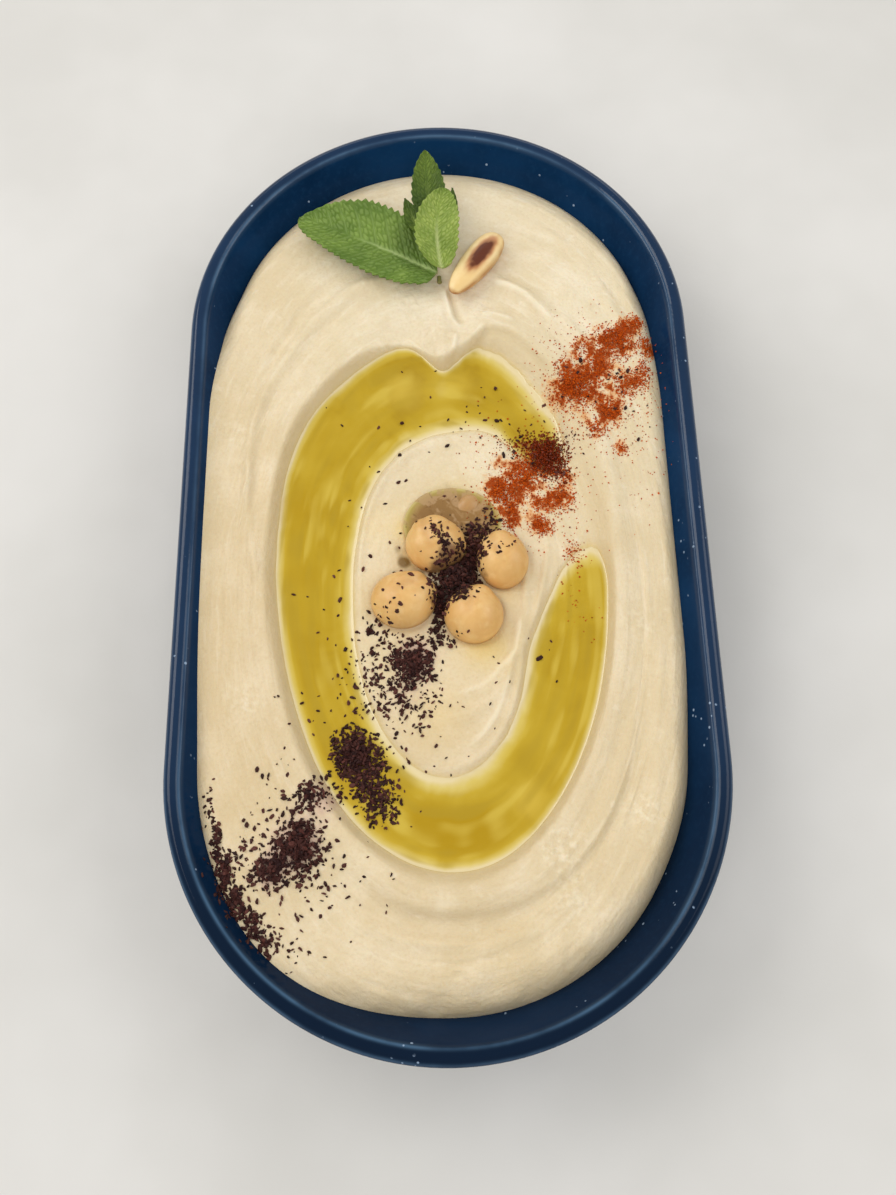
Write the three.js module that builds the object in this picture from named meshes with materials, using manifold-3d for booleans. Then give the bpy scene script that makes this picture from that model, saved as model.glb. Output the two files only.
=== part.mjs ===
// Hummus in an oval dish: a spooned spiral of hummus with an oil filled trough, chickpeas in the
// middle, a sprig of mint, a toasted pine nut, sumac flakes and paprika crumbs.
// Millimetres, +Z up. The origin is under the middle of the dish, on the surface it stands on.
// +Y runs along the dish to the mint end and +X across it.

import * as THREE from 'three'
import { mergeVertices } from 'three/addons/utils/BufferGeometryUtils.js'
import Module from 'manifold-3d'

const wasm = await Module()
wasm.setup()

// ---------- driving dimensions ----------

const dish = {
  width: 105,
  length: 200,
  height: 32,
  lipWidth: 3.2,
  lean: 0.5, // how far the wall comes in for each millimetre down
  floorTop: 4.2,
  footHeight: 2.6,
  footWidth: 4,
  footRecess: 0.8,
  arcSteps: 16,
  sideSteps: 3,
}
const rim = dish.height
const halfWidth = dish.width / 2
const halfStraight = (dish.length - dish.width) / 2
const gap = 0.3 // between pieces that touch
const oilGap = 0.45 // straight up from the hummus to the oil, as the trough's walls are steep
const shoreGap = 0.006 // and sideways from those walls, as a part of the ellipse's radius

// The trough runs round this ellipse; heights below are measured from the rim, down is minus.
const swirl = { x: -0.3, y: -11.6, halfWidth: 33.6, halfLength: 56.3 }
const level = { mound: -4.5, floor: -9.0, crest: -2.6, bed: -3.4, oil: -5.7, pool: -4.9, bridge: -4.7 }
const oilEnds = { first: 37, last: 6 } // the oil's two ends, in degrees round the ellipse
const crestDip = 1.9 // how much lower the crest is left of the tongue
const pit = { x: 2, y: 2.4, halfWidth: 10.5, halfLength: 8.5, depth: -9.4 }

const chickpeas = [
  { x: -1.5, y: -2.7, z: -3.4, radius: 5.7, stretch: [1.09, 0.98, 0.96], beak: [-0.2, 0.75, 0.62] },
  { x: 11.8, y: -6.4, z: -3.4, radius: 5.4, stretch: [0.98, 1.08, 0.96], beak: [-0.35, 0.85, 0.4] },
  { x: -7.9, y: -14.3, z: -3.5, radius: 5.8, stretch: [1.12, 1, 0.95], beak: [0.72, 0.6, 0.3] },
  { x: 5.9, y: -17.7, z: -3.6, radius: 5.5, stretch: [1.09, 1.04, 0.96], beak: [0.05, 0.95, 0.3] },
  { x: 4.7, y: 6.8, z: -9.8, radius: 5.1, stretch: [1, 1, 1], beak: [0.4, 0.3, 0.86] },
]

const nut = { x: 8.5, y: 62.6, length: 18, width: 6.9, height: 5, turn: 54, lift: 1.8 }

// Leaves: base, tip and width, the rise of the middle, the fold along the midrib, the sideways bow,
// how much wider one side is than the other, and two powers that shape the outline of each side.
const leaves = [
  { name: 'large', base: [0.1, 60.8, -1.7], tip: [-29.9, 76.4, -1.9], width: 16.4, rise: 1.5, fold: 0.12,
    bow: 0.3, uneven: -0.14, swell: [1.1, 0.72], blunt: [0.6, 0.38], steps: [12, 6] },
  { name: 'front', base: [1, 60.4, 0.6], tip: [2, 78.1, 4.6], width: 9.5, rise: 1.2, fold: 0.3,
    bow: 1.2, uneven: 0, swell: [0.85, 0.8], blunt: [0.52, 0.5], steps: [10, 4] },
  { name: 'back', base: [0, 70.2, 0.4], tip: [-1.9, 88.2, 4.8], width: 7.6, rise: 0.3, fold: 0.35,
    bow: 0.5, uneven: 0, swell: [0.75, 0.75], blunt: [0.66, 0.66], steps: [10, 4] },
  { name: 'left', base: [-3.1, 69.6, 0.2], tip: [-6.6, 78.3, 1.2], width: 3.6, rise: 0.3, fold: 0.2,
    bow: 0.3, uneven: 0, swell: [0.7, 0.7], blunt: [0.75, 0.75], steps: [8, 2] },
  { name: 'right', base: [3.4, 71.4, 0.2], tip: [3.9, 80.5, 1.6], width: 2.4, rise: 0.3, fold: 0.2,
    bow: -0.2, uneven: 0, swell: [0.7, 0.7], blunt: [0.75, 0.75], steps: [8, 2] },
]
const leafThickness = 0.5
const stem = { base: [0.6, 58.7], tip: [0.5, 60.5], radius: 0.55, lift: 0.85 }

// Where the sumac and the paprika lie: middle, spread, largest flakes made as solids, heap height.
const sumacPatches = [
  { x: -28, y: -61, spread: 4.6, flakes: 22, heap: 0.9 },
  { x: -33, y: -66.5, spread: 4.2, flakes: 10, heap: 0.5 },
  { x: -5.8, y: -25.6, spread: 3.6, flakes: 16, heap: 0.7 },
  { x: -8, y: -32, spread: 4.6, flakes: 9, heap: 0.2 },
  { x: 2.3, y: -10.4, spread: 1.7, flakes: 5, heap: 0 },
]
const floatingPatches = [
  { x: -18.2, y: -45, spread: 4.2, flakes: 22 },
  { x: -21, y: -28, spread: 6, flakes: 5 },
]
const paprikaPatches = [
  { x: 29.5, y: 34.5, spread: 2.6, flakes: 9, heap: 0.7 },
  { x: 37.5, y: 43.4, spread: 2.6, flakes: 8, heap: 0.5 },
  { x: 22, y: 17.6, spread: 2.2, flakes: 7, heap: 0.6 },
  { x: 14.5, y: 9.6, spread: 2.6, flakes: 8, heap: 0.4 },
  { x: 19.5, y: 2.5, spread: 2.6, flakes: 4, heap: 0.3 },
]

// ---------- small helpers ----------

const degrees = 180 / Math.PI

function smooth(from, to, value) {
  const t = Math.min(1, Math.max(0, (value - from) / (to - from)))
  return t * t * (3 - 2 * t)
}

// A bell round one direction of the circle.
function lobe(turn, centre, width) {
  const away = ((turn - centre + 540) % 360) - 180
  return Math.exp(-((away / width) ** 2))
}

function bell(distance, width) {
  return Math.exp(-((distance / width) ** 2))
}

// Distance from the dish's middle line, which is straight between the centres of its round ends.
function fromSpine(x, y) {
  return Math.hypot(x, Math.max(Math.abs(y) - halfStraight, 0))
}

function randomFrom(seed) {
  let state = seed
  return () => {
    state = (state * 1664525 + 1013904223) % 4294967296
    return state / 4294967296
  }
}

// A closed mesh with its doubled points merged and its faces pointing out.
function closedGeometry(positions, triangles) {
  const geometry = new THREE.BufferGeometry()
  geometry.setAttribute('position', new THREE.Float32BufferAttribute(positions, 3))
  geometry.setIndex(triangles)
  const merged = withoutFlatTriangles(mergeVertices(geometry, 1e-3))
  if (volumeOf(merged) < 0) merged.index.array.reverse()
  return merged
}

function volumeOf(geometry) {
  const index = geometry.index.array
  const corner = [0, 1, 2].map(() => new THREE.Vector3())
  let volume = 0
  for (let i = 0; i < index.length; i += 3) {
    corner.forEach((point, k) => point.fromBufferAttribute(geometry.attributes.position, index[i + k]))
    volume += corner[0].dot(corner[1].cross(corner[2])) / 6
  }
  return volume
}

function withoutFlatTriangles(geometry) {
  const index = geometry.index.array
  const kept = []
  for (let i = 0; i < index.length; i += 3) {
    const [a, b, c] = [index[i], index[i + 1], index[i + 2]]
    if (a !== b && b !== c && c !== a) kept.push(a, b, c)
  }
  geometry.setIndex(kept)
  return geometry
}

// Only the places of the corners are kept, so that shared corners can be merged.
function bare(geometry) {
  geometry.deleteAttribute('normal')
  geometry.deleteAttribute('uv')
  return geometry
}

function toSolid(geometry) {
  const mesh = new wasm.Mesh({
    numProp: 3,
    vertProperties: new Float32Array(geometry.attributes.position.array),
    triVerts: new Uint32Array(geometry.index.array),
  })
  return new wasm.Manifold(mesh)
}

function toGeometry(solid) {
  const mesh = solid.getMesh()
  const geometry = new THREE.BufferGeometry()
  geometry.setAttribute('position', new THREE.Float32BufferAttribute(mesh.vertProperties, 3))
  geometry.setIndex(Array.from(mesh.triVerts))
  return geometry
}

// ---------- the spooned surface ----------

// Lines of the swirl in one direction, as parts of the ellipse's radius.
function swirlLines(turn) {
  const crest = 1.016 + 0.141 * lobe(turn, 48, 30) - 0.112 * lobe(turn, 88, 9)
    + 0.028 * lobe(turn, 66, 12) + 0.023 * lobe(turn, 113, 14) + 0.108 * lobe(turn, 145, 26)
    + 0.023 * lobe(turn, 180, 18) + 0.029 * lobe(turn, -78, 26)
  const shore = 0.6 + 0.117 * lobe(turn, 50, 30) - 0.073 * lobe(turn, 178, 38)
    + 0.072 * lobe(turn, -88, 36) - 0.054 * lobe(turn, -26, 18) + 0.05 * lobe(turn, 14, 14)
  const wall = 0.095 + 0.255 * lobe(turn, 50, 22) - 0.05 * lobe(turn, 96, 18)
    + 0.075 * lobe(turn, -175, 42) + 0.03 * lobe(turn, -90, 34)
  const floorOut = crest - wall
  return { crest, shore, floorOut, floorIn: Math.min(shore + 0.11, floorOut - 0.03) }
}

// The trough fades where the hummus bridges it between the two rounded ends of the oil.
function bridge(q, turn) {
  const round = 200 * (q - 0.87) ** 2
  return smooth(2, 13, turn + round) * (1 - smooth(30, 42, turn - round))
}

function moundRidges(q, turn) {
  const shoulder = 0.5 * bell(q - swirlLines(turn).shore + 0.03, 0.022)
  const near = smooth(-100, -80, turn) * (1 - smooth(5, 22, turn))
  const left = smooth(80, 100, turn) * (1 - smooth(165, 179, turn))
  const inner = 0.45 + 0.045 * Math.cos((turn + 20) / degrees)
  return shoulder * Math.max(near, left) * 1.2 + 0.6 * near * bell(q - inner, 0.03)
}

// Two faint outer turns of the spoon, round the mint end and round the near end.
function outerTurns(q, turn) {
  const farLine = 1.35 - 0.3 * smooth(140, 190, turn)
  const far = smooth(30, 45, turn) * (1 - smooth(175, 180, turn))
  const nearLine = 1.13 + 0.09 * smooth(-90, -40, turn)
  const near = smooth(-118, -95, turn) * (1 - smooth(-40, -22, turn))
  const beadEdge = smooth(nearLine - 0.025, nearLine + 0.005, q)
  const bead = smooth(nearLine - 0.1, nearLine - 0.06, q) * (1 - beadEdge)
  return far * (0.7 * bell(q - farLine, 0.035) - 0.3 * bell(q - farLine + 0.09, 0.05))
    + near * (0.7 * bead - 0.3 * bell(q - nearLine - 0.015, 0.018))
}

// The tongue that the spoon left when it was lifted, from the mint into the trough.
function tongue(x, y) {
  const along = smooth(27, 34, y) * (1 - smooth(50, 60, y))
  return along * (1.1 * bell(x - 0.6, 2.6) - 0.4 * bell(x + 5.2, 3) - 0.3 * bell(x - 6.4, 3))
}

function heaps(x, y) {
  let height = 0
  for (const patch of [...sumacPatches, ...paprikaPatches]) {
    height += patch.heap * bell(Math.hypot(x - patch.x, y - patch.y), patch.spread)
  }
  return height
}

// How far below the rim the hummus meets the wall, and how wide its rounded bank is there.
function contactDepth(x, y) {
  const turn = dishTurn(x, y)
  const sides = 3.9 + 1.4 * Math.cos(turn / degrees)
  const farEnd = smooth(18, 38, turn) * (1 - smooth(142, 163, turn))
  const nearEnd = smooth(-136, -90, turn) * (1 - smooth(-44, -14, turn))
  return sides + (8.2 - sides) * farEnd + (10.1 - sides) * nearEnd + 2.4 * lobe(turn, -145, 16)
}

function bankWidth(x, y) {
  const turn = dishTurn(x, y)
  return 3.2 + 5 * lobe(turn, -90, 42) + 7 * lobe(turn, 90, 42)
}

function dishTurn(x, y) {
  return Math.atan2(y / (dish.length / 2), x / halfWidth) * degrees
}

// Top of the hummus, in millimetres from the rim.
function hummusTop(x, y) {
  const u = (x - swirl.x) / swirl.halfWidth
  const v = (y - swirl.y) / swirl.halfLength
  const q = Math.hypot(u, v)
  const turn = Math.atan2(v, u) * degrees
  const lines = swirlLines(turn)
  const bed = level.bed - 1.4 * smooth(58, 86, y) - 1.2 * smooth(60, 82, -y)
  const floor = level.floor + (level.bridge - level.floor) * bridge(q, turn)
  const crest = level.crest - crestDip * lobe(turn, 101, 12)
  let z = level.mound
  z += (floor - level.mound) * smooth(lines.shore - 0.05, lines.floorIn, q)
  z += (crest - floor) * smooth(lines.floorOut, lines.crest, q)
  z += (bed - crest) * smooth(lines.crest + 0.02, lines.crest + 0.13, q)
  z += moundRidges(q, turn) + outerTurns(q, turn) + tongue(x, y) + heaps(x, y)
  const pitEdge = Math.hypot((x - pit.x) / pit.halfWidth, (y - pit.y) / pit.halfLength)
  z += (pit.depth - level.mound) * (1 - smooth(0.62, 1, pitEdge))
  const depth = contactDepth(x, y)
  const inside = halfWidth - dish.lipWidth - dish.lean * depth - fromSpine(x, y)
  const t = Math.min(1, Math.max(-0.4, inside / bankWidth(x, y)))
  return -depth + (z + depth) * (1 - (1 - t) ** 2.2)
}

// ---------- dish ----------

// A closed loft of the dish's outline: each step of the profile is an inset from the rim and a height.
// It starts and ends on the middle line, where the inset is the half width.
function loftOutline(profile) {
  const positions = []
  for (const [inset, z] of profile) {
    for (const [x, y] of outlineAt(halfWidth - inset)) positions.push(x, y, z)
  }
  const count = outlineAt(1).length
  const triangles = []
  for (let ring = 0; ring < profile.length - 1; ring++) {
    for (let i = 0; i < count; i++) {
      const a = ring * count + i
      const b = ring * count + ((i + 1) % count)
      triangles.push(a, b, a + count, b, b + count, a + count)
    }
  }
  return closedGeometry(positions, triangles)
}

function outlineAt(radius) {
  const points = []
  for (const side of [1, -1]) {
    for (let i = 0; i < dish.sideSteps; i++) {
      const y = side * halfStraight * (2 * i / dish.sideSteps - 1)
      points.push([side * radius, y])
    }
    for (let i = 0; i < dish.arcSteps; i++) {
      const angle = Math.PI * i / dish.arcSteps
      points.push([side * radius * Math.cos(angle), side * (halfStraight + radius * Math.sin(angle))])
    }
  }
  return points
}

function wallInset(z) {
  return dish.lean * (rim - z)
}

function buildDish() {
  const foot = wallInset(dish.footHeight) + 2
  const footInside = foot + dish.footWidth
  const floorEdge = dish.lipWidth + wallInset(dish.floorTop)
  const profile = [
    [halfWidth, dish.footRecess],
    [footInside + 0.6, dish.footRecess],
    [footInside, 0],
    [foot + 0.7, 0],
    [foot, 0.7],
    [foot - 0.2, dish.footHeight - 0.4],
    [foot - 1.4, dish.footHeight + 0.5],
    [foot - 2.6, dish.footHeight + 2],
    [wallInset(8), 8],
    [wallInset(rim - 4.4), rim - 4.4],
    [0.5, rim - 3],
    [0, rim - 1.7],
    [0.3, rim - 0.7],
    [1.1, rim - 0.1],
    [1.9, rim],
    [2.8, rim - 0.25],
    [dish.lipWidth + wallInset(rim - 1.3), rim - 1.3],
    [dish.lipWidth + wallInset(13), 13],
    [dish.lipWidth + wallInset(8.4), 8.4],
    [floorEdge + 1.1, dish.floorTop + 1.4],
    [floorEdge + 4, dish.floorTop + 0.25],
    [floorEdge + 7, dish.floorTop],
    [halfWidth, dish.floorTop],
  ]
  return loftOutline(profile)
}

// The room inside the dish, kept clear of its wall and floor, open above the rim.
function buildRoom() {
  const edge = dish.lipWidth + gap * 1.2
  const floorEdge = edge + wallInset(dish.floorTop)
  const bottom = dish.floorTop + gap
  const profile = [
    [halfWidth, bottom],
    [floorEdge + 7, bottom],
    [floorEdge + 4, bottom + 0.25],
    [floorEdge + 1.1, bottom + 1.4],
    [edge + wallInset(8.4 + gap), 8.4 + gap],
    [edge + wallInset(13), 13],
    [edge + wallInset(rim - 1.3), rim - 1.3],
    [edge + wallInset(rim - 1.3), rim + 2],
    [halfWidth, rim + 2],
  ]
  return toSolid(loftOutline(profile))
}

// ---------- hummus ----------

const turnSteps = 72

// In one direction, how far out along the ellipse the hummus meets the wall.
function wallLine(turn) {
  let inner = 1
  let outer = 2.6
  for (let i = 0; i < 30; i++) {
    const middle = (inner + outer) / 2
    const [x, y] = swirlPoint(middle, turn)
    const inside = halfWidth - dish.lipWidth - dish.lean * contactDepth(x, y) - fromSpine(x, y)
    if (inside > 0) inner = middle
    else outer = middle
  }
  return inner
}

function swirlPoint(q, turn) {
  return [
    swirl.x + swirl.halfWidth * q * Math.cos(turn / degrees),
    swirl.y + swirl.halfLength * q * Math.sin(turn / degrees),
  ]
}

// Rings follow the lines of the swirl, so that few of them carry its shape.
function ringsAt(turn) {
  const lines = swirlLines(turn)
  const wall = wallLine(turn)
  const mix = (a, b, t) => a + (b - a) * t
  const slopeStart = lines.shore - 0.05
  const beadFoot = lines.crest + 0.13
  const [x, y] = swirlPoint(wall, turn)
  const bank = bankWidth(x, y) / Math.hypot(x - swirl.x, y - swirl.y) * wall
  const shoulder = Math.max(wall - bank, beadFoot + 0.03)
  return [
    0.12, 0.24, mix(0.24, slopeStart, 0.35), mix(0.24, slopeStart, 0.7), slopeStart,
    lines.shore - 0.02, mix(lines.shore, lines.floorIn, 0.35), lines.floorIn,
    lines.floorOut, mix(lines.floorOut, lines.crest, 0.35), mix(lines.floorOut, lines.crest, 0.7),
    lines.crest, lines.crest + 0.05, lines.crest + 0.09, beadFoot,
    mix(beadFoot, shoulder, 0.25), mix(beadFoot, shoulder, 0.5), mix(beadFoot, shoulder, 0.75), shoulder,
    mix(shoulder, wall, 0.45), mix(shoulder, wall, 0.75), wall, wall + 0.06,
  ]
}

// The spooned surface as the top of a block, raised by a chosen amount.
function surfaceBlock(raise) {
  const positions = [swirl.x, swirl.y, rim + hummusTop(swirl.x, swirl.y) + raise]
  const rings = ringsAt(0).length
  for (let k = 0; k < turnSteps; k++) {
    const turn = k * 360 / turnSteps - 180
    for (const q of ringsAt(turn)) {
      const [x, y] = swirlPoint(q, turn)
      positions.push(x, y, rim + hummusTop(x, y) + raise)
    }
  }
  const bottom = dish.floorTop - 3
  const bottomStart = positions.length / 3
  for (let k = 0; k < turnSteps; k++) {
    const at = (1 + k * rings + rings - 1) * 3
    positions.push(positions[at], positions[at + 1], bottom)
  }
  positions.push(swirl.x, swirl.y, bottom)
  const bottomCentre = bottomStart + turnSteps
  const triangles = []
  for (let k = 0; k < turnSteps; k++) {
    const next = (k + 1) % turnSteps
    const a = 1 + k * rings
    const b = 1 + next * rings
    triangles.push(0, a, b)
    for (let j = 0; j < rings - 1; j++) {
      triangles.push(a + j, a + j + 1, b + j, b + j, a + j + 1, b + j + 1)
    }
    const last = rings - 1
    triangles.push(a + last, bottomStart + k, b + last)
    triangles.push(b + last, bottomStart + k, bottomStart + next)
    triangles.push(bottomCentre, bottomStart + next, bottomStart + k)
  }
  return toSolid(closedGeometry(positions, triangles))
}

// A flake is a squashed eight-sided grain, half sunk in what it lies on.
function flakeSolid(spot, z) {
  const geometry = bare(new THREE.OctahedronGeometry(1, 0))
  geometry.scale(spot.size, spot.size * 0.6, spot.size * 0.5)
  geometry.rotateZ(spot.turn)
  geometry.translate(spot.x, spot.y, z)
  return toSolid(mergeVertices(geometry, 1e-4))
}

function isFreeSpot(x, y, size, taken) {
  if (taken.some((spot) => Math.hypot(x - spot.x, y - spot.y) < size + spot.size + 0.15)) return false
  for (const pea of chickpeas) {
    if (Math.hypot(x - pea.x, y - pea.y) < pea.radius * 1.15 + size + 0.5) return false
  }
  const margin = halfWidth - dish.lipWidth - dish.lean * contactDepth(x, y) - fromSpine(x, y)
  return margin > size + 0.8
}

function scatter(patches, seed, sizes, allowed) {
  const random = randomFrom(seed)
  const spots = []
  for (const patch of patches) {
    let placed = 0
    for (let attempt = 0; attempt < 60 * patch.flakes && placed < patch.flakes; attempt++) {
      const away = patch.spread * 1.25 * Math.sqrt(random())
      const angle = 2 * Math.PI * random()
      const x = patch.x + away * Math.cos(angle)
      const y = patch.y + away * Math.sin(angle)
      const size = sizes[0] + (sizes[1] - sizes[0]) * random()
      const turn = Math.PI * random()
      if (!isFreeSpot(x, y, size, spots) || !allowed(x, y, size)) continue
      spots.push({ x, y, size, turn })
      placed++
    }
  }
  return spots
}

// The lowest hummus within a flake's reach.
function lowestTop(x, y, reach) {
  let lowest = hummusTop(x, y)
  for (let angle = 0; angle < 6; angle++) {
    const top = hummusTop(x + reach * Math.cos(angle), y + reach * Math.sin(angle))
    lowest = Math.min(lowest, top)
  }
  return lowest
}

function highestTop(x, y, reach) {
  let highest = hummusTop(x, y)
  for (let angle = 0; angle < 6; angle++) {
    const top = hummusTop(x + reach * Math.cos(angle), y + reach * Math.sin(angle))
    highest = Math.max(highest, top)
  }
  return highest
}

// Adds a flake at each spot, seated on the solid's own top.
function withFlakes(solid, spots, sink) {
  const body = new THREE.Mesh(toGeometry(solid), new THREE.MeshBasicMaterial())
  const probe = new THREE.Raycaster()
  const down = new THREE.Vector3(0, 0, -1)
  let joined = solid
  for (const spot of spots) {
    probe.set(new THREE.Vector3(spot.x, spot.y, 2 * rim), down)
    const top = probe.intersectObject(body)[0].point.z
    joined = joined.add(flakeSolid(spot, top - sink))
  }
  return joined
}

function buildHummus() {
  let solid = surfaceBlock(0).intersect(buildRoom())
  for (const pea of chickpeas) solid = solid.subtract(toSolid(chickpeaGeometry(pea, gap)))
  solid = solid.subtract(toSolid(nutGeometry(gap)))
  const dry = (x, y, size) => lowestTop(x, y, size + 0.8) > level.oil + 0.35
  const spots = [
    ...scatter(sumacPatches, 11, [0.75, 1.1], dry),
    ...scatter(paprikaPatches, 29, [0.6, 0.95], dry),
  ]
  return toGeometry(withFlakes(solid, spots, 0.05))
}

// ---------- oil ----------

// Where the hummus, raised by the gap, comes out of the oil, between two lines of the swirl.
function shoreBetween(turn, under, over) {
  let wet = under
  let dry = over
  for (let i = 0; i < 30; i++) {
    const middle = (wet + dry) / 2
    const [x, y] = swirlPoint(middle, turn)
    if (hummusTop(x, y) + oilGap < level.oil) wet = middle
    else dry = middle
  }
  return wet
}

// The oil's section in one direction: flat on top, following the trough below.
function oilSection(turn) {
  const rings = ringsAt(turn)
  const floorIn = rings[7]
  const floorOut = rings[8]
  const inner = shoreBetween(turn, floorIn, rings[4]) + shoreGap
  const outer = shoreBetween(turn, floorOut, rings[11]) - shoreGap
  const bottomOf = (q, inward = 0) => {
    const bottom = rim + hummusTop(...swirlPoint(q, turn)) + oilGap
    return [...swirlPoint(q - inward, turn), bottom]
  }
  const surfaceOf = (q) => [...swirlPoint(q, turn), rim + level.oil]
  const inSlope = Math.max(rings[6], inner + 0.002)
  const outSlope = Math.min(rings[9], outer + shoreGap - 0.002)
  return [
    surfaceOf(inner),
    bottomOf(inSlope),
    bottomOf(floorIn),
    bottomOf(floorOut, shoreGap),
    bottomOf(outSlope, shoreGap),
    surfaceOf(outer),
  ]
}

function buildOilRing() {
  const step = 360 / turnSteps
  const turns = [oilEnds.first]
  for (let k = Math.ceil(oilEnds.first / step); k * step < 360 + oilEnds.last; k++) turns.push(k * step)
  turns.push(360 + oilEnds.last)
  const sections = turns.map((turn) => oilSection(turn > 180 ? turn - 360 : turn))
  const size = sections[0].length
  const positions = sections.flat(2)
  const triangles = []
  for (let s = 0; s < sections.length - 1; s++) {
    for (let i = 0; i < size; i++) {
      const a = s * size + i
      const b = s * size + ((i + 1) % size)
      triangles.push(a, a + size, b, b, a + size, b + size)
    }
  }
  const end = (sections.length - 1) * size
  for (let i = 1; i < size - 1; i++) {
    triangles.push(0, i, i + 1)
    triangles.push(end, end + i + 1, end + i)
  }
  const solid = toSolid(closedGeometry(positions, triangles))
  const deep = (x, y, size) => highestTop(x, y, size + 0.3) < level.oil - 1.2
  return toGeometry(withFlakes(solid, scatter(floatingPatches, 47, [0.75, 1.1], deep), 0))
}

// The small pool between the chickpeas, cut round them.
function buildOilPool() {
  const deepest = pit.depth - 1
  const tall = level.pool - deepest
  const geometry = bare(new THREE.CylinderGeometry(1.04, 1.04, tall, 32))
  geometry.rotateX(Math.PI / 2)
  geometry.scale(pit.halfWidth, pit.halfLength, 1)
  geometry.translate(pit.x, pit.y, rim + level.pool - tall / 2)
  let solid = toSolid(mergeVertices(geometry, 1e-4)).subtract(surfaceBlock(oilGap))
  for (const pea of chickpeas) solid = solid.subtract(toSolid(chickpeaGeometry(pea, oilGap)))
  const pools = solid.decompose().sort((a, b) => b.volume() - a.volume())
  return toGeometry(pools[0])
}

// ---------- chickpeas ----------

function chickpeaGeometry(pea, grow = 0) {
  const merged = mergeVertices(bare(new THREE.IcosahedronGeometry(1, 2)), 1e-4)
  const beak = new THREE.Vector3(...pea.beak).normalize()
  const across = new THREE.Vector3(beak.y, -beak.x, 0.2).normalize()
  const point = new THREE.Vector3()
  const place = merged.attributes.position
  for (let i = 0; i < place.count; i++) {
    point.fromBufferAttribute(place, i).normalize()
    const towards = point.dot(beak)
    const side = point.dot(across)
    const furrow = 0.035 * bell(side, 0.22) * smooth(-0.2, 0.7, towards)
    const reach = pea.radius * (1 + 0.1 * smooth(0.72, 1, towards) - furrow - 0.03 * side * side) + grow
    point.set(point.x * pea.stretch[0], point.y * pea.stretch[1], point.z * pea.stretch[2])
    place.setXYZ(i, pea.x + reach * point.x, pea.y + reach * point.y, rim + pea.z + reach * point.z)
  }
  return merged
}

// ---------- pine nut ----------

function nutGeometry(grow = 0) {
  const steps = 10
  const half = nut.length / 2 + grow
  const profile = []
  for (let i = 0; i <= steps; i++) {
    const t = Math.PI * i / steps
    const taper = 1 - 0.16 * Math.cos(t)
    profile.push(new THREE.Vector2((nut.width / 2 * taper + grow) * Math.sin(t) ** 0.8, -half * Math.cos(t)))
  }
  const geometry = bare(new THREE.LatheGeometry(profile, 12))
  geometry.scale(1, 1, nut.height / nut.width)
  geometry.rotateZ((nut.turn - 90) / degrees)
  geometry.translate(nut.x, nut.y, rim + hummusTop(nut.x, nut.y) + nut.lift)
  return withoutFlatTriangles(mergeVertices(geometry, 1e-3))
}

// ---------- mint ----------

// A thin wavy solid: one grid of points for the upper face, the same grid for the lower one.
function leafGeometry(leaf) {
  const [alongSteps, acrossSteps] = leaf.steps
  const base = new THREE.Vector3(...leaf.base)
  const tip = new THREE.Vector3(...leaf.tip)
  const along = tip.clone().sub(base)
  const side = new THREE.Vector3(-along.y, along.x, 0).normalize()
  const up = along.clone().normalize().cross(side).negate()
  if (up.z < 0) up.negate()
  const faces = [[], []]
  for (let i = 0; i <= alongSteps; i++) {
    const s = i / alongSteps
    const tooth = 1 + 0.05 * Math.cos(Math.PI * i)
    for (let j = 0; j <= acrossSteps; j++) {
      const t = 2 * j / acrossSteps - 1
      const edge = t > 0 ? 1 : 0
      const shape = Math.sin(Math.PI * s ** leaf.swell[edge]) ** leaf.blunt[edge]
      const half = Math.max(0.22, leaf.width / 2 * shape * tooth)
      const wave = 0.035 * leaf.width * Math.sin(2.2 * Math.PI * s + 2 * t) * Math.abs(t)
      const lift = leaf.rise * Math.sin(Math.PI * s) + leaf.fold * half * (Math.abs(t) ** 1.4 - 0.3) + wave
      const point = base.clone().addScaledVector(along, s)
      const reach = half * (t + leaf.uneven * Math.abs(t))
      point.addScaledVector(side, reach + leaf.bow * Math.sin(Math.PI * s))
      point.addScaledVector(up, lift)
      const floor = hummusTop(point.x, point.y) + gap + 0.15
      const z = rim + Math.max(point.z, floor)
      faces[0].push(point.x, point.y, z + leafThickness)
      faces[1].push(point.x, point.y, z)
    }
  }
  const row = acrossSteps + 1
  const below = faces[0].length / 3
  const triangles = []
  const quad = (a, b, c, d) => triangles.push(a, b, c, a, c, d)
  for (let i = 0; i < alongSteps; i++) {
    for (let j = 0; j < acrossSteps; j++) {
      const a = i * row + j
      quad(a, a + row, a + row + 1, a + 1)
      quad(below + a, below + a + 1, below + a + row + 1, below + a + row)
    }
    const left = i * row
    const right = left + acrossSteps
    quad(left, below + left, below + left + row, left + row)
    quad(right, right + row, below + right + row, below + right)
  }
  const end = alongSteps * row
  for (let j = 0; j < acrossSteps; j++) {
    quad(j, j + 1, below + j + 1, below + j)
    quad(end + j, below + end + j, below + end + j + 1, end + j + 1)
  }
  return closedGeometry([...faces[0], ...faces[1]], triangles)
}

// A short cut stalk that lies on the hummus.
function stemGeometry() {
  const lying = ([x, y]) => new THREE.Vector3(x, y, rim + hummusTop(x, y) + stem.radius + stem.lift)
  const from = lying(stem.base)
  const to = lying(stem.tip)
  const geometry = bare(new THREE.CylinderGeometry(stem.radius * 0.8, stem.radius, from.distanceTo(to), 8, 2))
  const lengthwise = to.clone().sub(from).normalize()
  geometry.applyQuaternion(new THREE.Quaternion().setFromUnitVectors(new THREE.Vector3(0, 1, 0), lengthwise))
  geometry.translate((from.x + to.x) / 2, (from.y + to.y) / 2, (from.z + to.z) / 2)
  return mergeVertices(geometry, 1e-4)
}

// ---------- the whole ----------

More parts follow.
